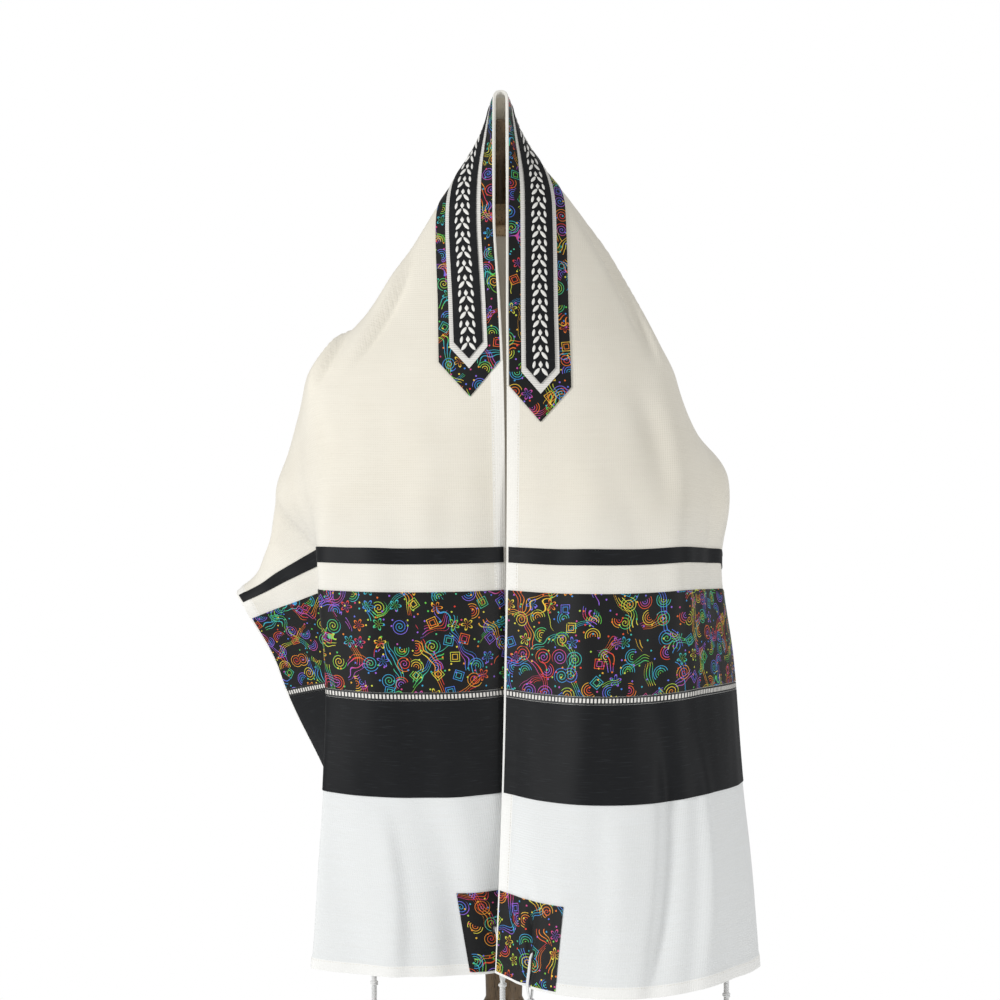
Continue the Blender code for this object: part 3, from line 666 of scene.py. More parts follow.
def strewn_cells(cell_size):
    """Cells of about that size: a place's distance and angle from its cell's middle, in
    millimetres and radians, and the three random draws of the cell."""
    scaled = add_node(tree, "ShaderNodeVectorMath", {1: (1 / cell_size, 1 / cell_size, 0)},
                      {0: millimetres}, operation="MULTIPLY").outputs["Vector"]
    cells = add_node(tree, "ShaderNodeTexVoronoi", {"Scale": 1.0, "Randomness": 0.75},
                     {"Vector": scaled}, voronoi_dimensions="2D")
    offset = add_node(tree, "ShaderNodeVectorMath",
                      links={0: scaled, 1: cells.outputs["Position"]}, operation="SUBTRACT")
    parts = add_node(tree, "ShaderNodeSeparateXYZ", links={0: offset.outputs["Vector"]})
    draws = add_node(tree, "ShaderNodeSeparateColor", links={0: cells.outputs["Color"]})
    reach = ("MULTIPLY", cells.outputs["Distance"], cell_size)
    angle = ("ARCTAN2", parts.outputs["Y"], parts.outputs["X"])
    return reach, angle, draws.outputs


def thin_line(phase, share):
    """1 where the phase, counted in turns, is in its first share, else 0."""
    return ("LESS_THAN", ("FRACT", phase), share)


def all_of(*masks):
    """1 where every one of the masks is 1, else 0."""
    mask = masks[0]
    for other in masks[1:]:
        mask = ("MULTIPLY", mask, other)
    return mask


def line_between(value, low, width=INK_WIDTH):
    """1 where a value in millimetres lies in a line's width from low, else 0."""
    return all_of(("GREATER_THAN", value, low), ("LESS_THAN", value, low + width))


def lay_ink(ground, hue, mask):
    """The ground, with ink where the mask is 1; whole turns of hue run round the ring of inks."""
    ramp = add_node(tree, "ShaderNodeValToRGB", links={0: ("FRACT", hue)})
    stops = ramp.color_ramp.elements
    for at, ink in enumerate(INKS):
        stop = stops[at] if at < 2 else stops.new(1.0)
        stop.position = at / (len(INKS) - 1)
        stop.color = linear(ink)
    return add_node(tree, "ShaderNodeMix", data_type="RGBA",
                    links={"Factor": mask, "A": ground, "B": ramp.outputs[0]}).outputs[2]


inked = add_node(tree, "ShaderNodeRGB")
inked.outputs[0].default_value = linear("0B0C0D")
inked = inked.outputs[0]

# Pinstripes that wander in loose bundles, each bundle in its own run of colours
swirl = add_node(tree, "ShaderNodeTexNoise", {"Scale": 0.03, "Detail": 1.0},
                 {"Vector": millimetres})
sweep_parts = add_node(tree, "ShaderNodeSeparateXYZ", links={0: millimetres})
for way, (lean_x, lean_y) in enumerate(((0.85, 0.45), (-0.35, 0.9))):
    drift = ("MULTIPLY", swirl.outputs["Fac"], 46.0 - 80.0 * way)
    leaning = ("MULTIPLY", sweep_parts.outputs["Y"], lean_y)
    sweep = ("ADD", ("MULTIPLY", sweep_parts.outputs["X"], lean_x), ("ADD", drift, leaning))
    bundle = thin_line(("DIVIDE", sweep, SWEEP_STEP * BUNDLE_STEPS), BUNDLE_SHARE)
    gap = add_node(tree, "ShaderNodeTexNoise", {"Scale": 0.028 + 0.011 * way, "Detail": 0.0},
                   {"Vector": millimetres}).outputs["Fac"]
    line = thin_line(("DIVIDE", sweep, SWEEP_STEP), INK_WIDTH / SWEEP_STEP)
    inked = lay_ink(inked, ("ADD", ("DIVIDE", sweep, HUE_RUN), gap),
                    all_of(line, bundle, ("GREATER_THAN", gap, GAP_LEVEL)))

# Motifs: each cell draws one of four kinds by its red, or stays bare
reach, angle, draws = strewn_cells(MOTIF_CELL)
kind, lean = draws["Red"], draws["Blue"]
turn = ("DIVIDE", angle, 2 * math.pi)
hue = ("ADD", ("MULTIPLY", draws["Green"], 3.0), ("DIVIDE", reach, 30.0))
inside = ("LESS_THAN", reach, MOTIF_REACH)
tilted = ("ADD", angle, ("MULTIPLY", lean, 6.3))
rings = all_of(inside, ("LESS_THAN", kind, 0.30),
               thin_line(("DIVIDE", reach, RING_STEP), INK_WIDTH / RING_STEP),
               ("GREATER_THAN", ("SINE", tilted), -0.3))
spiral = all_of(inside, ("GREATER_THAN", kind, 0.30), ("LESS_THAN", kind, 0.52),
                thin_line(("SUBTRACT", ("DIVIDE", reach, SPIRAL_STEP), turn),
                          INK_WIDTH / SPIRAL_STEP))
petal_wave = ("ABSOLUTE", ("COSINE", ("MULTIPLY", ("ADD", angle, lean), 2.5)))
petal_reach = ("MULTIPLY", PETAL_REACH, petal_wave)
petals = all_of(("GREATER_THAN", kind, 0.52), ("LESS_THAN", kind, 0.72),
                ("LESS_THAN", reach, petal_reach),
                ("GREATER_THAN", reach, ("SUBTRACT", petal_reach, PETAL_EDGE)))
square_reach = ("MULTIPLY", reach, ("MAXIMUM", ("ABSOLUTE", ("COSINE", tilted)),
                                    ("ABSOLUTE", ("SINE", tilted))))
squares = all_of(("GREATER_THAN", kind, 0.72), ("LESS_THAN", kind, 0.9),
                 ("MAXIMUM", *(line_between(square_reach, low) for low in SQUARE_REACHES)))
for mask in (rings, spiral, petals, squares):
    inked = lay_ink(inked, hue, mask)

reach, angle, draws = strewn_cells(DOT_CELL)
dots = all_of(("LESS_THAN", reach, DOT_RADIUS), ("GREATER_THAN", draws["Blue"], 0.6))
inked = lay_ink(inked, ("MULTIPLY", draws["Green"], 5.0), dots)
threads = add_node(tree, "ShaderNodeTexNoise", {"Scale": 1.0, "Detail": 2.0},
                   {"Vector": flat_millimetres(tree, (1.2, 1.2))})
weave = add_node(tree, "ShaderNodeBump", {"Strength": 0.15, "Distance": 0.2 * MM},
                 {"Height": threads.outputs["Fac"]})
link_up(shader, Base_Color=inked, Normal=weave.outputs["Normal"])
print("finish:", print_cotton.name, "with", len(tree.nodes), "nodes")

# %% Ribbons
# Woven ladder ribbon: white blocks on a black ground, one block about every 4 mm.
BLOCK_PITCH = 3.9
BLOCK_SHARE = 0.58
BLOCK_HALF = 2.3
RIB_WAVE = 2.4 * math.pi
ladder_weave, tree, shader = new_material("black_and_white_ladder_ribbon", Roughness=0.5)
parts = add_node(tree, "ShaderNodeSeparateXYZ", links={0: flat_millimetres(tree)})
ribbon_middle = sum(LADDER_RIBBON) / 2 / MM
off_middle = ("ABSOLUTE", ("SUBTRACT", ("ABSOLUTE", parts.outputs["X"]), ribbon_middle))
block = all_of(("LESS_THAN", off_middle, BLOCK_HALF),
               thin_line(("DIVIDE", parts.outputs["Y"], BLOCK_PITCH), BLOCK_SHARE))
rungs = add_node(tree, "ShaderNodeMix", {"A": linear("17191B"), "B": linear("E6E4DE")},
                 {"Factor": block}, data_type="RGBA")
raised = add_node(tree, "ShaderNodeBump", {"Strength": 0.5, "Distance": 0.3 * MM},
                  {"Height": block})
link_up(shader, Base_Color=rungs.outputs[2], Normal=raised.outputs["Normal"])

# Satin ribbon: floats of bright viscose along it, so it is white with a soft gloss and
# fine ribs from edge to edge, drawn one every 2.4 mm, coarser than they are, to show.
satin, tree, shader = new_material("white_satin_ribbon", Roughness=0.38, Specular_IOR_Level=0.5,
                                   Sheen_Weight=0.1)
ribs = add_node(tree, "ShaderNodeTexWave", {"Scale": 1.0},
                {"Vector": flat_millimetres(tree, (RIB_WAVE, RIB_WAVE))}, bands_direction="X")
# The grooves between the ribs are painted darker: painted shade that follows the ribs' height.
ribs_with_painted_shade = add_node(tree, "ShaderNodeMix", {"A": linear("D8D6D0"), "B": linear("F1EFEA")},
                {"Factor": ribs.outputs["Fac"]}, data_type="RGBA")
ribbed = add_node(tree, "ShaderNodeBump", {"Strength": 0.2, "Distance": 0.2 * MM},
                  {"Height": ribs.outputs["Fac"]})
link_up(shader, Base_Color=ribs_with_painted_shade.outputs[2], Normal=ribbed.outputs["Normal"])
print("finishes:", ladder_weave.name, satin.name)

# %% [markdown]
# ## The shawl
# The wool is one piece from corner to corner, open at the four tassel holes. Its hems are
# part of it, a step in the drape's relief.

# %% Shawl
WOOL_STEP = 0.5 * CM
WOOL_THICKNESS = 1.1 * MM
wool_along = line_marks(-HALF_LENGTH, HALF_LENGTH, WOOL_STEP,
                        hole_marks(-1) + [0.0] + hole_marks(1))
wool_across = line_marks(0.0, WIDTH, WOOL_STEP, hole_marks())
shawl = cloth_shell("shawl_wool_cloth", *np.meshgrid(wool_along, wool_across, indexing="ij"),
                    -WOOL_THICKNESS, WOOL_THICKNESS, wool, "wool",
                    open_holes(wool_along, wool_across))
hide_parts("shawl_wool")
print(shawl.name, len(shawl.data.polygons), "faces")

# %% [markdown]
# ## Bands and patches
# Each band is sewn flat on the wool with its edges turned under. The same places on the flat
# cloth give it its shape, so it follows every crease of the wool under it.

# %% Bands, ribbons and corner patches
BAND_STEP = 0.4 * CM
BAND_LIFT = 0.3 * MM
BAND_THICKNESS = 0.7 * MM
EDGE_MARGIN = 0.3 * CM
SIDES = {"left": -1, "right": 1}


def band(name, side, start, end, near, far, finish, slot, lift=BAND_LIFT, thickness=BAND_THICKNESS,
         step=BAND_STEP):
    """A strip sewn on one half, between two marks along and two marks across."""
    low, high = sorted((side * start, side * end))
    along = line_marks(low, high, step, hole_marks(side))
    across = line_marks(near, far, step, hole_marks())
    piece = cloth_shell(name, *np.meshgrid(along, across, indexing="ij"), lift, thickness,
                        finish, slot, open_holes(along, across))
    return piece


for word, side in SIDES.items():
    for node, (start, end), finish, slot in (
            ("thin_stripe", THIN_STRIPE, dupion, "dupion"),
            ("print_band", PRINT_BAND, print_cotton, "print_cloth"),
            ("ladder_ribbon", LADDER_RIBBON, ladder_weave, "ladder_ribbon"),
            ("dupion_band", DUPION_BAND, dupion, "dupion")):
        piece = band(f"{node}_{word}_cloth", side, start, end, EDGE_MARGIN, WIDTH - EDGE_MARGIN,
                     finish, slot)
        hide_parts(f"{node}_{word}")
for name, (side, along, across) in HOLES.items():
    near = EDGE_MARGIN if across < WIDTH / 2 else WIDTH - PATCH_SIDE
    patch = name.replace("tassel", "patch")
    piece = band(patch + "_cloth", side, HALF_LENGTH - PATCH_SIDE, HALF_LENGTH - EDGE_MARGIN, near,
                 near + PATCH_SIDE - EDGE_MARGIN, print_cotton, "print_cloth")
    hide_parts(patch)

# %% [markdown]
# ## Neckband
# The neckband is three layers: a strip of the print, a white satin ribbon on it that frames
# the middle, and a black silk centre. All three end in a point on each front. White piping
# covers the neck edge of the shawl.

# %% Neckband and piping
NECKBAND_STEP = 0.3 * CM
NECKBAND_LIFT = 0.5 * MM
LAYER = 1.3 * MM


def pointed_strip(name, across_edges, point_back, lift, finish, slot):
    """A strip along the neck edge, over the peak, with a point at each end."""
    near, far = across_edges
    across = line_marks(near, far, NECKBAND_STEP, [(near + far) / 2])
    taper = 1 - np.abs(across - (near + far) / 2) / ((far - near) / 2)
    reach = NECKBAND_POINT * (far - near) / (NECKBAND_ACROSS[1] - NECKBAND_ACROSS[0])
    share = np.linspace(-1, 1, round(2 * NECKBAND_SHOULDER[1] / NECKBAND_STEP) + 1)
    left = -(NECKBAND_SHOULDER[-1] - point_back + reach * taper)
    right = NECKBAND_SHOULDER[1] - point_back + reach * taper
    along = np.where(share[:, None] < 0, -share[:, None] * left, share[:, None] * right)
    piece = cloth_shell(name, along, np.broadcast_to(across, along.shape), lift, BAND_THICKNESS,
                        finish, slot)
    return piece


for node, edges, back, layer, finish, slot in (
        ("neckband_print", NECKBAND_ACROSS, 0.0, 0, print_cotton, "print_cloth"),
        ("neckband_ribbon", RIBBON_ACROSS, 1.6 * CM, 1, satin, "ribbon"),
        ("neckband_centre", CENTRE_ACROSS, 2.1 * CM, 2, dupion, "dupion")):
    piece = pointed_strip(node + "_cloth", edges, back, NECKBAND_LIFT + layer * LAYER, finish, slot)
    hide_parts(node)

PIPING_RADIUS = 1.35 * MM
PIPING_SIDES = 10
PIPING_MARKS = 260
PIPING_ACROSS = 1.3 * MM
PIPING_LIFT = 0.9 * MM
piping_marks = np.linspace(-NECKBAND_SHOULDER[-1], NECKBAND_SHOULDER[1], PIPING_MARKS)
core = cloth_at(piping_marks, np.full_like(piping_marks, PIPING_ACROSS), PIPING_LIFT)


def tube(name, path, radius, sides, finish):
    """A round cord through the points of a path, made from a bevelled curve."""
    curve = bpy.data.curves.new(name, "CURVE")
    curve.dimensions = "3D"
    spline = curve.splines.new("POLY")
    spline.points.add(len(path) - 1)
    spline.points.foreach_set("co", np.column_stack((path, np.ones(len(path)))).ravel())
    curve.bevel_depth = radius
    curve.bevel_resolution = max(0, sides // 2 - 2)
    curve.use_fill_caps = True
    cord = bpy.data.objects.new(name, curve)
    bpy.context.scene.collection.objects.link(cord)
    bpy.ops.object.select_all(action="DESELECT")
    cord.select_set(True)
    bpy.context.view_layer.objects.active = cord
    bpy.ops.object.convert(target="MESH")
    cord = bpy.context.object
    cord.data.materials.clear()
    cord.data.materials.append(finish)
    cord.data.shade_smooth()
    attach(cord, "root")
    return cord


# Cotton piping, folded over a cord: plain, matt and white.
piping_cotton, _, _ = new_material("white_cotton_piping", Base_Color=linear("F0EEE6"),
                                   Roughness=0.75, Sheen_Weight=0.15)
piping = tube("neck_piping_cord", core, PIPING_RADIUS, PIPING_SIDES, piping_cotton)
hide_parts("neck_piping")

# %% [markdown]
# ## Embroidery
# White satin stitch fills the black centre of the neckband. The motif here is a plain
# ornament: a pair of leaves either side of a lozenge, over and over. Satin stitch stands up
# in a soft dome, so each leaf is a small domed shape laid on the drape by its places.

# %% Satin-stitch leaves and lozenges
MOTIF_PITCH = 1.75 * CM
MOTIF_MARGIN = 2.4 * CM
LEAF_LENGTH = 1.1 * CM
LEAF_WIDTH = 0.42 * CM
LOZENGE_LENGTH = 0.85 * CM
LOZENGE_WIDTH = 0.55 * CM
STITCH_RISE = 0.7 * MM
CENTRE_LINE = sum(CENTRE_ACROSS) / 2
CENTRE_TOP = NECKBAND_LIFT + 2 * LAYER + BAND_THICKNESS
LEAVES = (
    # place along in pitches, place across, turn in degrees, scale
    (0.46, 0.44 * CM, 38, 1.0),
    (0.02, 0.72 * CM, 12, 0.8),
)
OUTLINE_POINTS = 14
DOME_RINGS = ((1.0, -0.15), (0.86, 0.55), (0.5, 0.95))

# Satin stitch in white viscose thread: close parallel threads with a soft gloss.
stitch_thread, _, _ = new_material("white_viscose_satin_stitch", Base_Color=linear("F2F1EC"),
                                   Roughness=0.45, Sheen_Weight=0.15)


def outline(shape, length, width):
    """Outline of a leaf (pointed at both ends) or of a lozenge, round its own middle."""
    turns = np.linspace(0, 2 * np.pi, OUTLINE_POINTS, endpoint=False)
    if shape == "leaf":
        return np.stack((length / 2 * np.cos(turns),
                         width / 2 * np.sin(turns) * np.abs(np.sin(turns)) ** 0.35), 1)
    reach = 1 / (np.abs(np.cos(turns)) + np.abs(np.sin(turns)))
    return np.stack((length / 2 * reach * np.cos(turns), width / 2 * reach * np.sin(turns)), 1)


def motif_marks():
    """Middles of all motifs along the centre strip, clear of its pointed ends."""
    left = -(NECKBAND_SHOULDER[-1] - MOTIF_MARGIN)
    right = NECKBAND_SHOULDER[1] - MOTIF_MARGIN
    count = int((right - left) / MOTIF_PITCH)
    return np.linspace(left, right, count + 1)


vertices, faces = [], []
for mark in motif_marks():
    side = -1 if mark < 0 else 1
    shapes = [("lozenge", 0.0, 0.0, 0.0, LOZENGE_LENGTH, LOZENGE_WIDTH)]
    for hand in (-1, 1):
        for pitches, aside, degrees, size in LEAVES:
            shapes.append(("leaf", side * MOTIF_PITCH * pitches, hand * aside,
                           side * hand * math.radians(degrees), LEAF_LENGTH * size,
                           LEAF_WIDTH * size))
    for shape, down, aside, turn, length, width in shapes:
        flat = outline(shape, length, width)
        cos, sin = math.cos(turn), math.sin(turn)
        flat = flat @ np.array(((cos, sin), (-sin, cos)))
        start = sum(len(part) for part in vertices)
        middle = np.array((mark + down, CENTRE_LINE + aside))
        for scale, rise in DOME_RINGS + ((0.0, 1.0),):
            places = middle + flat * scale if scale else middle[None]
            lifts = np.full(len(places), CENTRE_TOP + rise * STITCH_RISE)
            vertices.append(cloth_at(places[:, 0], places[:, 1], lifts))
        count = OUTLINE_POINTS
        for ring in range(len(DOME_RINGS) - 1):
            for number in range(count):
                after = (number + 1) % count
                low, high = start + ring * count, start + (ring + 1) * count
                faces.append((low + number, low + after, high + after, high + number))
        top = start + len(DOME_RINGS) * count
        last = top - count
        faces += [(last + number, last + (number + 1) % count, top) for number in range(count)]
        faces.append(tuple(start + number for number in reversed(range(count))))
mesh = bpy.data.meshes.new("neckband_embroidery")
mesh.from_pydata(np.concatenate(vertices).tolist(), [], faces)
mesh.shade_smooth()
set_out(mesh, stitch_thread)
print("embroidery:", len(mesh.polygons), "faces")

# %% [markdown]
# ## Topstitching
# A line of short stitches holds each hem and each band's edge. Every stitch is a tiny sunk
# bead of thread, so they are one mesh of a few faces each, set along lines on the flat cloth.

# %% Stitches
STITCH_PITCH = 3.2 * MM
STITCH_LENGTH = 2.2 * MM
STITCH_WIDTH = 0.5 * MM
STITCH_HEIGHT = 0.35 * MM
STITCH_INSET = 1.6 * MM
# The front hem's stitches start this far below the neckband's shoulders, past its points
BARE_EDGE = 4 * CM
STITCH_POINTS = (
    # place down the stitch, place across it, rise; the last is its top
    (-0.5, 0.0, -0.2), (0.0, -0.5, 0.1), (0.5, 0.0, -0.2), (0.0, 0.5, 0.1), (0.0, 0.0, 1.0))
STITCH_FACES = ((0, 1, 4), (1, 2, 4), (2, 3, 4), (3, 0, 4), (0, 2, 1), (0, 3, 2))

# Spun polyester sewing thread, cream on the wool and black on the bands.
cream_thread, _, _ = new_material("cream_sewing_thread", Base_Color=linear("E4DECD"), Roughness=0.6)
black_thread, _, _ = new_material("black_sewing_thread", Base_Color=linear("1A1B1D"),
                                  Roughness=0.55)


def stitch_lines(name, lines, lift, finish):
    """Stitches along straight lines on the flat cloth, each given by its two ends."""
    vertices, faces = [], []
    count = 0
    for start, end in lines:
        start, end = np.array(start), np.array(end)
        length = np.linalg.norm(end - start)
        way = (end - start) / length
        beside = np.array((-way[1], way[0]))
        middles = start + way * np.arange(STITCH_PITCH / 2, length, STITCH_PITCH)[:, None]
        for down, aside, rise in STITCH_POINTS:
            places = middles + way * down * STITCH_LENGTH + beside * aside * STITCH_WIDTH
            vertices.append(cloth_at(places[:, 0], places[:, 1],
                                     np.full(len(places), lift + rise * STITCH_HEIGHT)))
        number = len(middles)
        index = count + np.arange(number)
        faces += [np.stack([index + corner * number for corner in face], 1)
                  for face in STITCH_FACES]
        count += len(STITCH_POINTS) * number
    mesh = bpy.data.meshes.new(name)
    mesh.from_pydata(np.concatenate(vertices).tolist(), [], np.concatenate(faces).tolist())
    return set_out(mesh, finish)


hem_end = HALF_LENGTH - END_HEM + STITCH_INSET
near_hem, far_hem = FRONT_HEM - STITCH_INSET, WIDTH - FRONT_HEM + STITCH_INSET
left_start = -NECKBAND_SHOULDER[-1] - BARE_EDGE
right_start = NECKBAND_SHOULDER[1] + BARE_EDGE
hem_lines = [((-hem_end, near_hem), (left_start, near_hem)),
             ((right_start, near_hem), (hem_end, near_hem)),
             ((-hem_end, far_hem), (hem_end, far_hem)),
             ((-hem_end, PATCH_SIDE), (-hem_end, WIDTH - PATCH_SIDE)),
             ((hem_end, PATCH_SIDE), (hem_end, WIDTH - PATCH_SIDE))]
hem_stitches = stitch_lines("hem_stitches", hem_lines, 0.0, cream_thread)
band_lines = []
for side in SIDES.values():
    for start, end in (THIN_STRIPE, PRINT_BAND, DUPION_BAND):
        for mark in (start + STITCH_INSET, end - STITCH_INSET):
            band_lines.append(((side * mark, EDGE_MARGIN + STITCH_INSET),
                               (side * mark, WIDTH - EDGE_MARGIN - STITCH_INSET)))
band_stitches = stitch_lines("band_stitches", band_lines, BAND_LIFT + BAND_THICKNESS, black_thread)
patch_lines = []
for side, along, across in HOLES.values():
    near = EDGE_MARGIN if across < WIDTH / 2 else WIDTH - PATCH_SIDE
    low, high = HALF_LENGTH - PATCH_SIDE + STITCH_INSET, HALF_LENGTH - EDGE_MARGIN - STITCH_INSET
    left, right = near + STITCH_INSET, near + PATCH_SIDE - EDGE_MARGIN - STITCH_INSET
    corners = ((low, left), (high, left), (high, right), (low, right))
    for first, second in zip(corners, corners[1:] + corners[:1]):
        patch_lines.append(((side * first[0], first[1]), (side * second[0], second[1])))
patch_stitches = stitch_lines("patch_stitches", patch_lines, BAND_LIFT + BAND_THICKNESS,
                              black_thread)
print("stitches:", sum(len(piece.data.polygons) // 6 for piece in (hem_stitches, band_stitches,
                                                                  patch_stitches)))

# %% [markdown]
# ## Corner tassels
# Each tassel starts as four long threads drawn through the hole and doubled. They are tied
# in five knots with windings between, and the eight ends hang free. The head is modelled as
# it is tied: a core, one long wound thread, and a thick turn for every knot.

# %% Tassels
HEAD_LENGTH = 10 * CM
HEAD_DROP = 1.2 * CM
CORE_RADIUS = 2.2 * MM
WIND_RADIUS = 0.75 * MM
WIND_PITCH = 1.7 * MM
KNOT_COUNT = 5
KNOT_RADIUS = 1.25 * MM
STRAND_COUNT = 8
STRAND_RADIUS = 0.8 * MM
STRAND_LENGTH = 19 * CM
STRAND_ROOT = 2.9 * MM
STRAND_SPREAD = 7 * MM
PLY_TURNS_PER_METRE = 260
LOOP_REACH = 2.8 * MM
LOOP_OFFSETS = (-2.25 * MM, -0.75 * MM, 0.75 * MM, 2.25 * MM)
LOOP_MARKS = 48
LOOP_SMOOTHINGS = 3
WIND_MARKS = 12
KNOT_TURNS = 2.3
KNOT_MARKS = 40
STRAND_MARKS = 60
SOLID_WOOL = 1.5 * MM
DOWN = np.array((0.0, 0.0, -1.0))

# Plied wool yarn, bleached: matt, hairy and white, with a ply twist across each thread.
yarn, tree, shader = new_material("plied_white_wool_yarn", Roughness=0.85, Sheen_Weight=0.2)
fuzz = add_node(tree, "ShaderNodeTexCoord")
hairs = add_node(tree, "ShaderNodeTexNoise", {"Scale": 900.0, "Detail": 2.0},
                 {"Vector": fuzz.outputs["Object"]})
yarn_tone = add_node(tree, "ShaderNodeMix", {"A": linear("D9DADB"), "B": linear("F3F3F1")},
                     {"Factor": hairs.outputs["Fac"]}, data_type="RGBA")
link_up(shader, Base_Color=yarn_tone.outputs[2])


def joined(name, cords):
    """Several cords as one piece."""
    bpy.ops.object.select_all(action="DESELECT")
    for cord in cords:
        cord.select_set(True)
    bpy.context.view_layer.objects.active = cords[0]
    bpy.ops.object.join()
    cords[0].name = name
    cords[0].data.name = name
    return cords[0]


def yarn_cord(name, path, radius, sides):
    """A cord of the tassels' own yarn."""
    return tube(name, path, radius, sides, yarn)


def rings_round(angle):
    """Level places on a ring of radius 1, at the given angles."""
    return np.stack((np.cos(angle), np.sin(angle), np.zeros_like(angle)), 1)


def loop_thread(point, hem, top, normal, offset):
    """One doubled thread, from the head up in front, through the hole and down behind."""
    shift = np.cross(normal, DOWN) * offset
    fall = hem - point
    front = BAND_LIFT + BAND_THICKNESS + LOOP_REACH
    back = WOOL_THICKNESS + LOOP_REACH
    path = np.array([
        top + normal * 1.2 * MM + shift * 0.5,
        hem + normal * front * 0.9 + shift,
        point + fall * 0.5 + normal * front * 0.75 + shift,
        point + fall * 0.1 + normal * front * 0.8 + shift * 0.6,
        point + normal * front * 0.3 - DOWN * 1.6 * MM + shift * 0.5,
        point - normal * back * 0.4 - DOWN * 1.6 * MM + shift * 0.5,
        point + fall * 0.15 - normal * back + shift,
        point + fall * 0.6 - normal * back * 0.8 + shift,
        top - normal * 1.2 * MM + shift * 0.5])
    marks = np.linspace(0, len(path) - 1, LOOP_MARKS)
    smooth = np.stack([np.interp(marks, np.arange(len(path)), path[:, axis])
                       for axis in range(3)], 1)
    for _ in range(LOOP_SMOOTHINGS):
        smooth[1:-1] = (smooth[:-2] + 2 * smooth[1:-1] + smooth[2:]) / 4
    return yarn_cord("loop_thread", smooth, STRAND_RADIUS, 8)


def knotted_head(top):
    """A core, one thread wound round it, and a thick turn for every knot."""
    core = [top + DOWN * (HEAD_LENGTH + 3 * MM) * share for share in (0.0, 0.5, 1.0)]
    turns = HEAD_LENGTH / WIND_PITCH
    marks = np.linspace(0, 1, int(turns * WIND_MARKS))
    winding = (top + rings_round(2 * np.pi * turns * marks) * (CORE_RADIUS + WIND_RADIUS * 0.5)
               + DOWN * (marks * HEAD_LENGTH)[:, None])
    cords = [yarn_cord("core", core, CORE_RADIUS, 10),
             yarn_cord("winding", winding, WIND_RADIUS, 6)]
    for number in range(KNOT_COUNT):
        at = HEAD_LENGTH * (number + 0.12) / (KNOT_COUNT - 0.76)
        angle = np.linspace(0, 2 * np.pi * KNOT_TURNS, KNOT_MARKS)
        tilt = 0.9 * MM * np.sin(angle / KNOT_TURNS + number)
        path = (top + rings_round(angle) * (CORE_RADIUS + WIND_RADIUS + 0.5 * MM)
                + DOWN * (at + tilt + np.linspace(-1.4, 1.4, KNOT_MARKS) * MM)[:, None])
        cords.append(yarn_cord("knot", path, KNOT_RADIUS, 8))
    return cords


def hanging_strand(foot, number):
    """One of the free ends below the head, a little apart from the others."""
    turn = 2 * np.pi * (number + 0.5) / STRAND_COUNT
    way = np.array((math.cos(turn), math.sin(turn), 0.0))
    aside = np.array((-way[1], way[0], 0.0))
    length = STRAND_LENGTH * (1 - 0.06 * (number % 3))
    share = np.linspace(0, 1, STRAND_MARKS)
    spread = STRAND_ROOT + STRAND_SPREAD * ease(share * 1.6) - 1.2 * MM * (1 - ease(share * 6))
    wander = 1.4 * MM * share * np.sin(5 * share + number * 1.7)
    ply = 0.18 * MM * np.sin(2 * np.pi * PLY_TURNS_PER_METRE * length * share)
    path = (foot + way * (spread + ply)[:, None] + aside * wander[:, None]
            + DOWN * (length * share - 4 * MM)[:, None])
    return yarn_cord("strand", path, STRAND_RADIUS * 0.9, 6)


def knotted_tassel(node, side, along, across):
    """The loop through the hole, the knotted head and the eight hanging threads."""
    point = cloth_at(side * along, across)
    normal = cloth_at(side * along, across, 1.0) - point
    hem = cloth_at(side * HALF_LENGTH, across)
    top = hem - normal * SOLID_WOOL / 2
    top[2] = hem[2] - HEAD_DROP
    cords = [loop_thread(point, hem, top, normal, offset) for offset in LOOP_OFFSETS]
    cords += knotted_head(top)
    cords += [hanging_strand(top + DOWN * HEAD_LENGTH, number) for number in range(STRAND_COUNT)]
    piece = joined(node + "_threads", cords)
    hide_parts(node)
    return piece


for node, (side, along, across) in HOLES.items():
    tassel = knotted_tassel(node, side, along, across)
    print(tassel.name, len(tassel.data.polygons), "faces")

# %% Eyelets of the tassel holes
EYELET_STITCHES = 28
EYELET_REACH = HOLE_SIDE / 2 + 0.4 * MM


def eyelet(name, side, along, across):
    """Buttonhole stitches round a hole: radial beads of thread that cover its raw edge."""
    turns = np.linspace(0, 2 * np.pi, 120)
    wobble = 1 + 0.16 * np.sin(EYELET_STITCHES * turns)
    square = 1 / (np.abs(np.cos(turns)) ** 6 + np.abs(np.sin(turns)) ** 6) ** (1 / 6)
    reach = EYELET_REACH * square * wobble
    path = cloth_at(side * along + reach * np.cos(turns), across + reach * np.sin(turns),
                    np.full_like(turns, BAND_LIFT + BAND_THICKNESS + 0.2 * MM))
    return tube(name, path, 0.75 * MM, 6, black_thread)


for node, (side, along, across) in HOLES.items():
    eyelet(node.replace("tassel", "eyelet") + "_stitches", side, along, across)

# %% [markdown]
# ## The dress form
# The form is a limbless torso covered in linen, with a turned cap on its neck and a finial
# over that, which carries the shawl. It stands on a turned post and a round base. Where the
# shawl parts below the peak, the finial, cap and neck show between its two edges.

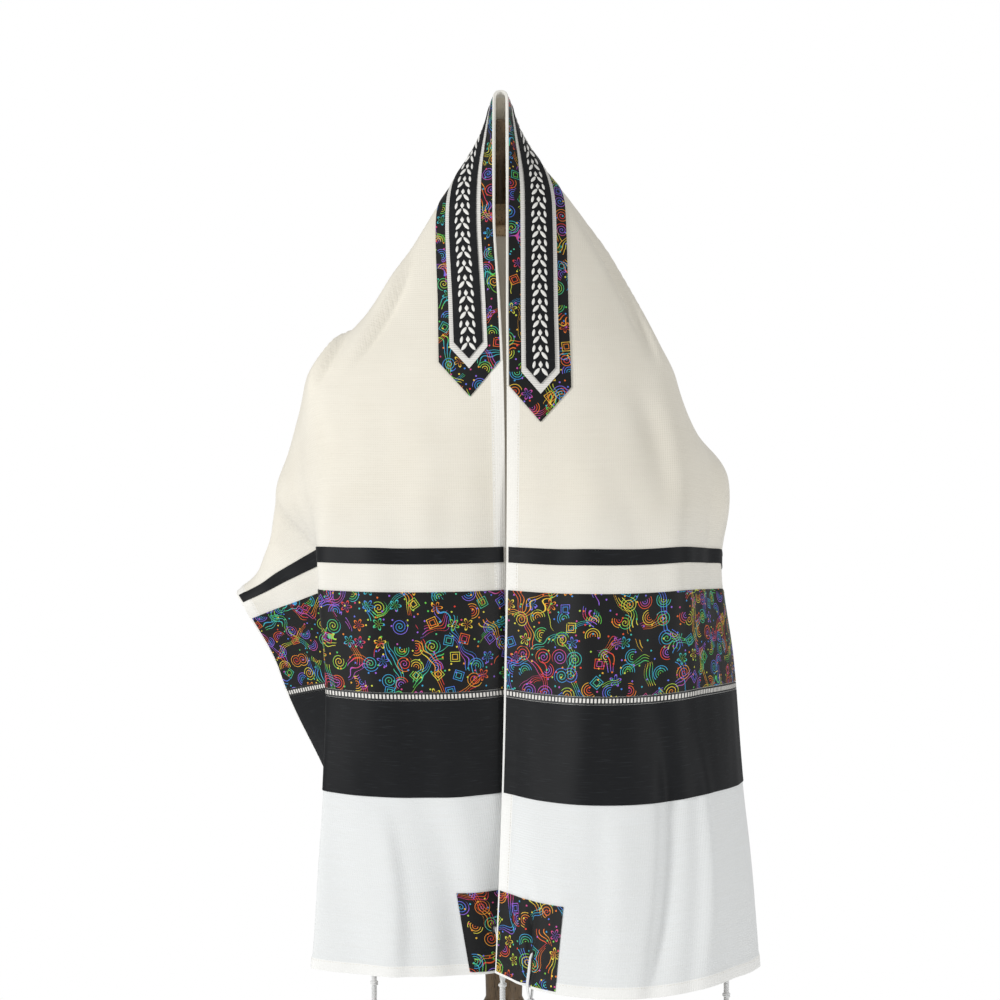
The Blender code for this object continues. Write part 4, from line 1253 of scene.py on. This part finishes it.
# %% Linen torso
TORSO_RINGS = (
    (17.0, 4.8, 4.5, -0.9),
    (21.0, 5.0, 4.7, -0.9),
    (24.0, 6.4, 5.2, -0.7),
    (27.5, 10.0, 6.2, -0.3),
    (31.0, 13.6, 7.2, 0.0),
    (34.5, 15.6, 8.2, 0.0),
    (40.0, 15.4, 9.4, -0.3),
    (47.0, 15.0, 10.2, -0.8),
    (55.0, 13.4, 9.2, 0.0),
    (63.0, 11.8, 8.4, 0.2),
    (71.0, 12.2, 8.8, 0.2),
    (80.0, 13.0, 9.6, 0.2),
    (88.0, 13.0, 9.6, 0.2),
    (90.0, 12.2, 9.0, 0.2),
)
TORSO_SIDES = 96
TORSO_LOOPS = 110

# Linen over papier mache: a plain weave of thick and thin flax, pale grey beige and matt.
# Its threads are drawn 1.4 mm apart. Thin wool lets some daylight through to the linen; a faint
# glow, painted light, stands in for it here, so the neck isn't black between the two edges.
linen, tree, shader = new_material("natural_linen_cover_with_painted_glow", Roughness=0.9, Specular_IOR_Level=0.2,
                                   Sheen_Weight=0.1, Emission_Color=linear("E2DCD0"),
                                   Emission_Strength=0.10)
place = add_node(tree, "ShaderNodeTexCoord")
flax = []
for scale in ((90.0, 90.0, 700.0), (700.0, 700.0, 60.0)):
    stretched = add_node(tree, "ShaderNodeVectorMath", {1: scale}, {0: place.outputs["Object"]},
                         operation="MULTIPLY")
    flax.append(add_node(tree, "ShaderNodeTexNoise", {"Scale": 1.0, "Detail": 2.0},
                         {"Vector": stretched.outputs["Vector"]}).outputs["Fac"])
crossed = ("MULTIPLY", ("ADD", *flax), 0.5)
flax_tone = add_node(tree, "ShaderNodeMix", {"A": linear("C4BCAC"), "B": linear("E2DCD0")},
                     {"Factor": crossed}, data_type="RGBA")
coarse = add_node(tree, "ShaderNodeBump", {"Strength": 0.4, "Distance": 0.4 * MM},
                  {"Height": crossed})
link_up(shader, Base_Color=flax_tone.outputs[2], Normal=coarse.outputs["Normal"])


def extruded_rings(name, rings, sides, centre=(0.0, 0.0)):
    """A closed round piece: a circle, drawn up ring by ring, each scaled to its size."""
    bpy.ops.object.select_all(action="DESELECT")
    first = rings[0]
    bpy.ops.mesh.primitive_circle_add(vertices=sides, radius=1.0, fill_type="NGON",
                                      location=(centre[0], centre[1], 0.0))
    piece = bpy.context.object
    piece.name = name
    bpy.ops.object.transform_apply(location=True, rotation=True, scale=True)
    bpy.ops.object.mode_set(mode="EDIT")
    bpy.ops.mesh.select_all(action="SELECT")
    bpy.ops.transform.resize(value=(first[1], first[2], 1.0), center_override=(*centre, 0.0))
    bpy.ops.transform.translate(value=(0, first[3], first[0]))
    for before, ring in zip(rings, rings[1:]):
        bpy.ops.mesh.extrude_region_move(TRANSFORM_OT_translate={
            "value": (0, ring[3] - before[3], ring[0] - before[0])})
        middle = (centre[0], centre[1] + ring[3], ring[0])
        bpy.ops.transform.resize(value=(ring[1] / before[1], ring[2] / before[2], 1.0),
                                 center_override=middle)
    bpy.ops.mesh.select_all(action="SELECT")
    bpy.ops.mesh.normals_make_consistent(inside=False)
    bpy.ops.object.mode_set(mode="OBJECT")
    return piece


def smooth_between(rows, count):
    """Rows at even steps of their first column, smooth between the given ones."""
    rows = np.array(rows, dtype=float)
    marks = np.linspace(rows[0, 0], rows[-1, 0], count)
    columns = [np.interp(marks, rows[:, 0], rows[:, column]) for column in range(1, rows.shape[1])]
    for _ in range(6):
        for values in columns:
            values[1:-1] = (values[:-2] + 2 * values[1:-1] + values[2:]) / 4
    return np.column_stack([marks] + columns)


torso_rings = [(PEAK_HEIGHT - depth * CM, width * CM, thick * CM, middle * CM)
               for depth, width, thick, middle in smooth_between(TORSO_RINGS, TORSO_LOOPS)[::-1]]
torso = extruded_rings("form_torso_cover", torso_rings, TORSO_SIDES)
torso.data.materials.append(linen)
torso.data.shade_smooth()
torso.data.set_sharp_from_angle(angle=math.radians(50))
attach(torso, "root")
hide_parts("form_torso")
print(torso.name, len(torso.data.polygons), "faces")

# %% Seams of the form
SEAM_TURNS = [number / 8 for number in range(8)]
SEAM_ENDS = (0.02, 0.97)
SEAM_MARKS = 80
SEAM_RADIUS = 0.7 * MM


def on_torso(turn, share):
    """A place on the torso: a share of its height from the foot, a turn round it."""
    at = share * (len(torso_rings) - 1)
    height, width, thick, middle = [np.interp(at, range(len(torso_rings)), column)
                                    for column in zip(*torso_rings)]
    angle = 2 * np.pi * turn
    return np.stack((width * np.cos(angle), middle + thick * np.sin(angle), height), -1)


seams = []
for turn in SEAM_TURNS:
    share = np.linspace(*SEAM_ENDS, SEAM_MARKS)
    seams.append(tube("seam", on_torso(turn, share), SEAM_RADIUS, 6, linen))
joined("form_torso_seams", seams)
print("seams:", len(SEAM_TURNS))

# %% [markdown]
# ## Turned wood
# The finial, cap, collar, post and base are turned beech, stained dark. Each is drawn up
# from a circle, ring by ring, along its profile, and a bevel softens its beads.

# %% Turned, stained beech
# Beech, turned and stained walnut brown, then waxed: fine straight grain along the post with
# short dark flecks, and a low sheen.
PALE_WOOD_WITH_PAINTED_LIGHT = (1.48, 1.53)
stained_beech, tree, shader = new_material("turned_stained_beech", Roughness=0.42,
                                           Specular_IOR_Level=0.45, Coat_Weight=0.15,
                                           Coat_Roughness=0.3)
place = add_node(tree, "ShaderNodeTexCoord")
drawn = add_node(tree, "ShaderNodeVectorMath", {1: (120.0, 120.0, 9.0)},
                 {0: place.outputs["Object"]}, operation="MULTIPLY")
grain = add_node(tree, "ShaderNodeTexNoise", {"Scale": 1.0, "Detail": 5.0, "Roughness": 0.6},
                 {"Vector": drawn.outputs["Vector"]})
flecked = add_node(tree, "ShaderNodeVectorMath", {1: (900.0, 900.0, 110.0)},
                   {0: place.outputs["Object"]}, operation="MULTIPLY")
flecks = add_node(tree, "ShaderNodeTexNoise", {"Scale": 1.0, "Detail": 1.0},
                  {"Vector": flecked.outputs["Vector"]})
brown = add_node(tree, "ShaderNodeMix", {"A": linear("4A3B2B"), "B": linear("887052")},
                 {"Factor": grain.outputs["Fac"]}, data_type="RGBA")
# The finial's foot and the cap are a pale tan: partly the beech's own tan where the stain stops,
# and partly painted light, far paler than that wood, to make up for the shade they stand in.
height = add_node(tree, "ShaderNodeSeparateXYZ", links={0: place.outputs["Object"]}).outputs["Z"]
pale_band_with_painted_light = all_of(("GREATER_THAN", height, PALE_WOOD_WITH_PAINTED_LIGHT[0]), ("LESS_THAN", height, PALE_WOOD_WITH_PAINTED_LIGHT[1]))
pale_tan_with_painted_light = add_node(tree, "ShaderNodeMix", {"B": linear("D2B48C")},
               {"Factor": pale_band_with_painted_light, "A": brown.outputs[2]}, data_type="RGBA")
fleck = ("MULTIPLY", ("GREATER_THAN", flecks.outputs["Fac"], 0.64), 0.8)
wood_tone = add_node(tree, "ShaderNodeMix", {"B": linear("33281C")},
                     {"Factor": fleck, "A": pale_tan_with_painted_light.outputs[2]}, data_type="RGBA")
pores = add_node(tree, "ShaderNodeBump", {"Strength": 0.15, "Distance": 0.2 * MM},
                 {"Height": grain.outputs["Fac"]})
link_up(shader, Base_Color=wood_tone.outputs[2], Normal=pores.outputs["Normal"])

# Profiles are pairs of a height and a radius, in cm.
FINIAL_PROFILE = ((0.0, 3.0), (0.9, 3.2), (1.5, 2.6), (2.4, 1.7), (3.6, 1.35), (5.2, 1.2),
                  (6.8, 1.3), (7.6, 1.65), (8.2, 1.65), (8.7, 1.25), (9.3, 1.05), (10.1, 1.24),
                  (10.9, 1.33), (11.6, 1.15), (12.2, 0.8), (12.5, 0.4))
NECK_CAP_PROFILE = ((0.0, 5.1), (0.5, 5.3), (1.0, 5.1), (1.3, 4.4))
COLLAR_PROFILE = ((0.0, 2.7), (0.6, 3.3), (1.2, 3.3), (2.0, 3.0), (2.6, 3.6), (3.4, 3.6),
                  (4.0, 3.2))
BASE_PROFILE = ((0.0, 18.4), (0.5, 19.0), (1.5, 19.0), (2.1, 18.2), (2.6, 16.8))
POST_RADIUS = 2.3
TURNED_SIDES = 72


def turned(node, profile, sides=TURNED_SIDES):
    """A turned piece that stands where its node does, along its profile of heights and radii."""
    low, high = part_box(node)
    centre = ((low[0] + high[0]) / 2, (low[1] + high[1]) / 2)
    rings = [(low[2] + height * CM, radius * CM, radius * CM, 0.0) for height, radius in profile]
    piece = extruded_rings(node + "_wood", rings, sides, centre)
    soften = piece.modifiers.new("soften", "BEVEL")
    soften.width = 1.6 * MM
    soften.segments = 3
    soften.limit_method = "ANGLE"
    soften.angle_limit = math.radians(14)
    bpy.ops.object.modifier_apply(modifier=soften.name)
    piece.data.materials.append(stained_beech)
    piece.data.shade_smooth()
    piece.data.set_sharp_from_angle(angle=math.radians(35))
    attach(piece, "root")
    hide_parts(node)
    return piece


post_low, post_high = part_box("form_post")
post_length = (post_high[2] - post_low[2]) / CM
POST_PROFILE = ((0.0, POST_RADIUS * 1.5), (1.2, POST_RADIUS * 1.5), (2.4, POST_RADIUS),
                (post_length / 3, POST_RADIUS * 0.95), (post_length - 12.0, POST_RADIUS * 0.95),
                (post_length - 10.6, POST_RADIUS * 1.22), (post_length - 9.2, POST_RADIUS * 0.9),
                (post_length, POST_RADIUS))
for node, profile in (("form_finial", FINIAL_PROFILE), ("form_neck_cap", NECK_CAP_PROFILE),
                      ("form_collar", COLLAR_PROFILE), ("form_post", POST_PROFILE),
                      ("form_base", BASE_PROFILE)):
    piece = turned(node, profile)
    print(piece.name, len(piece.data.polygons), "faces")
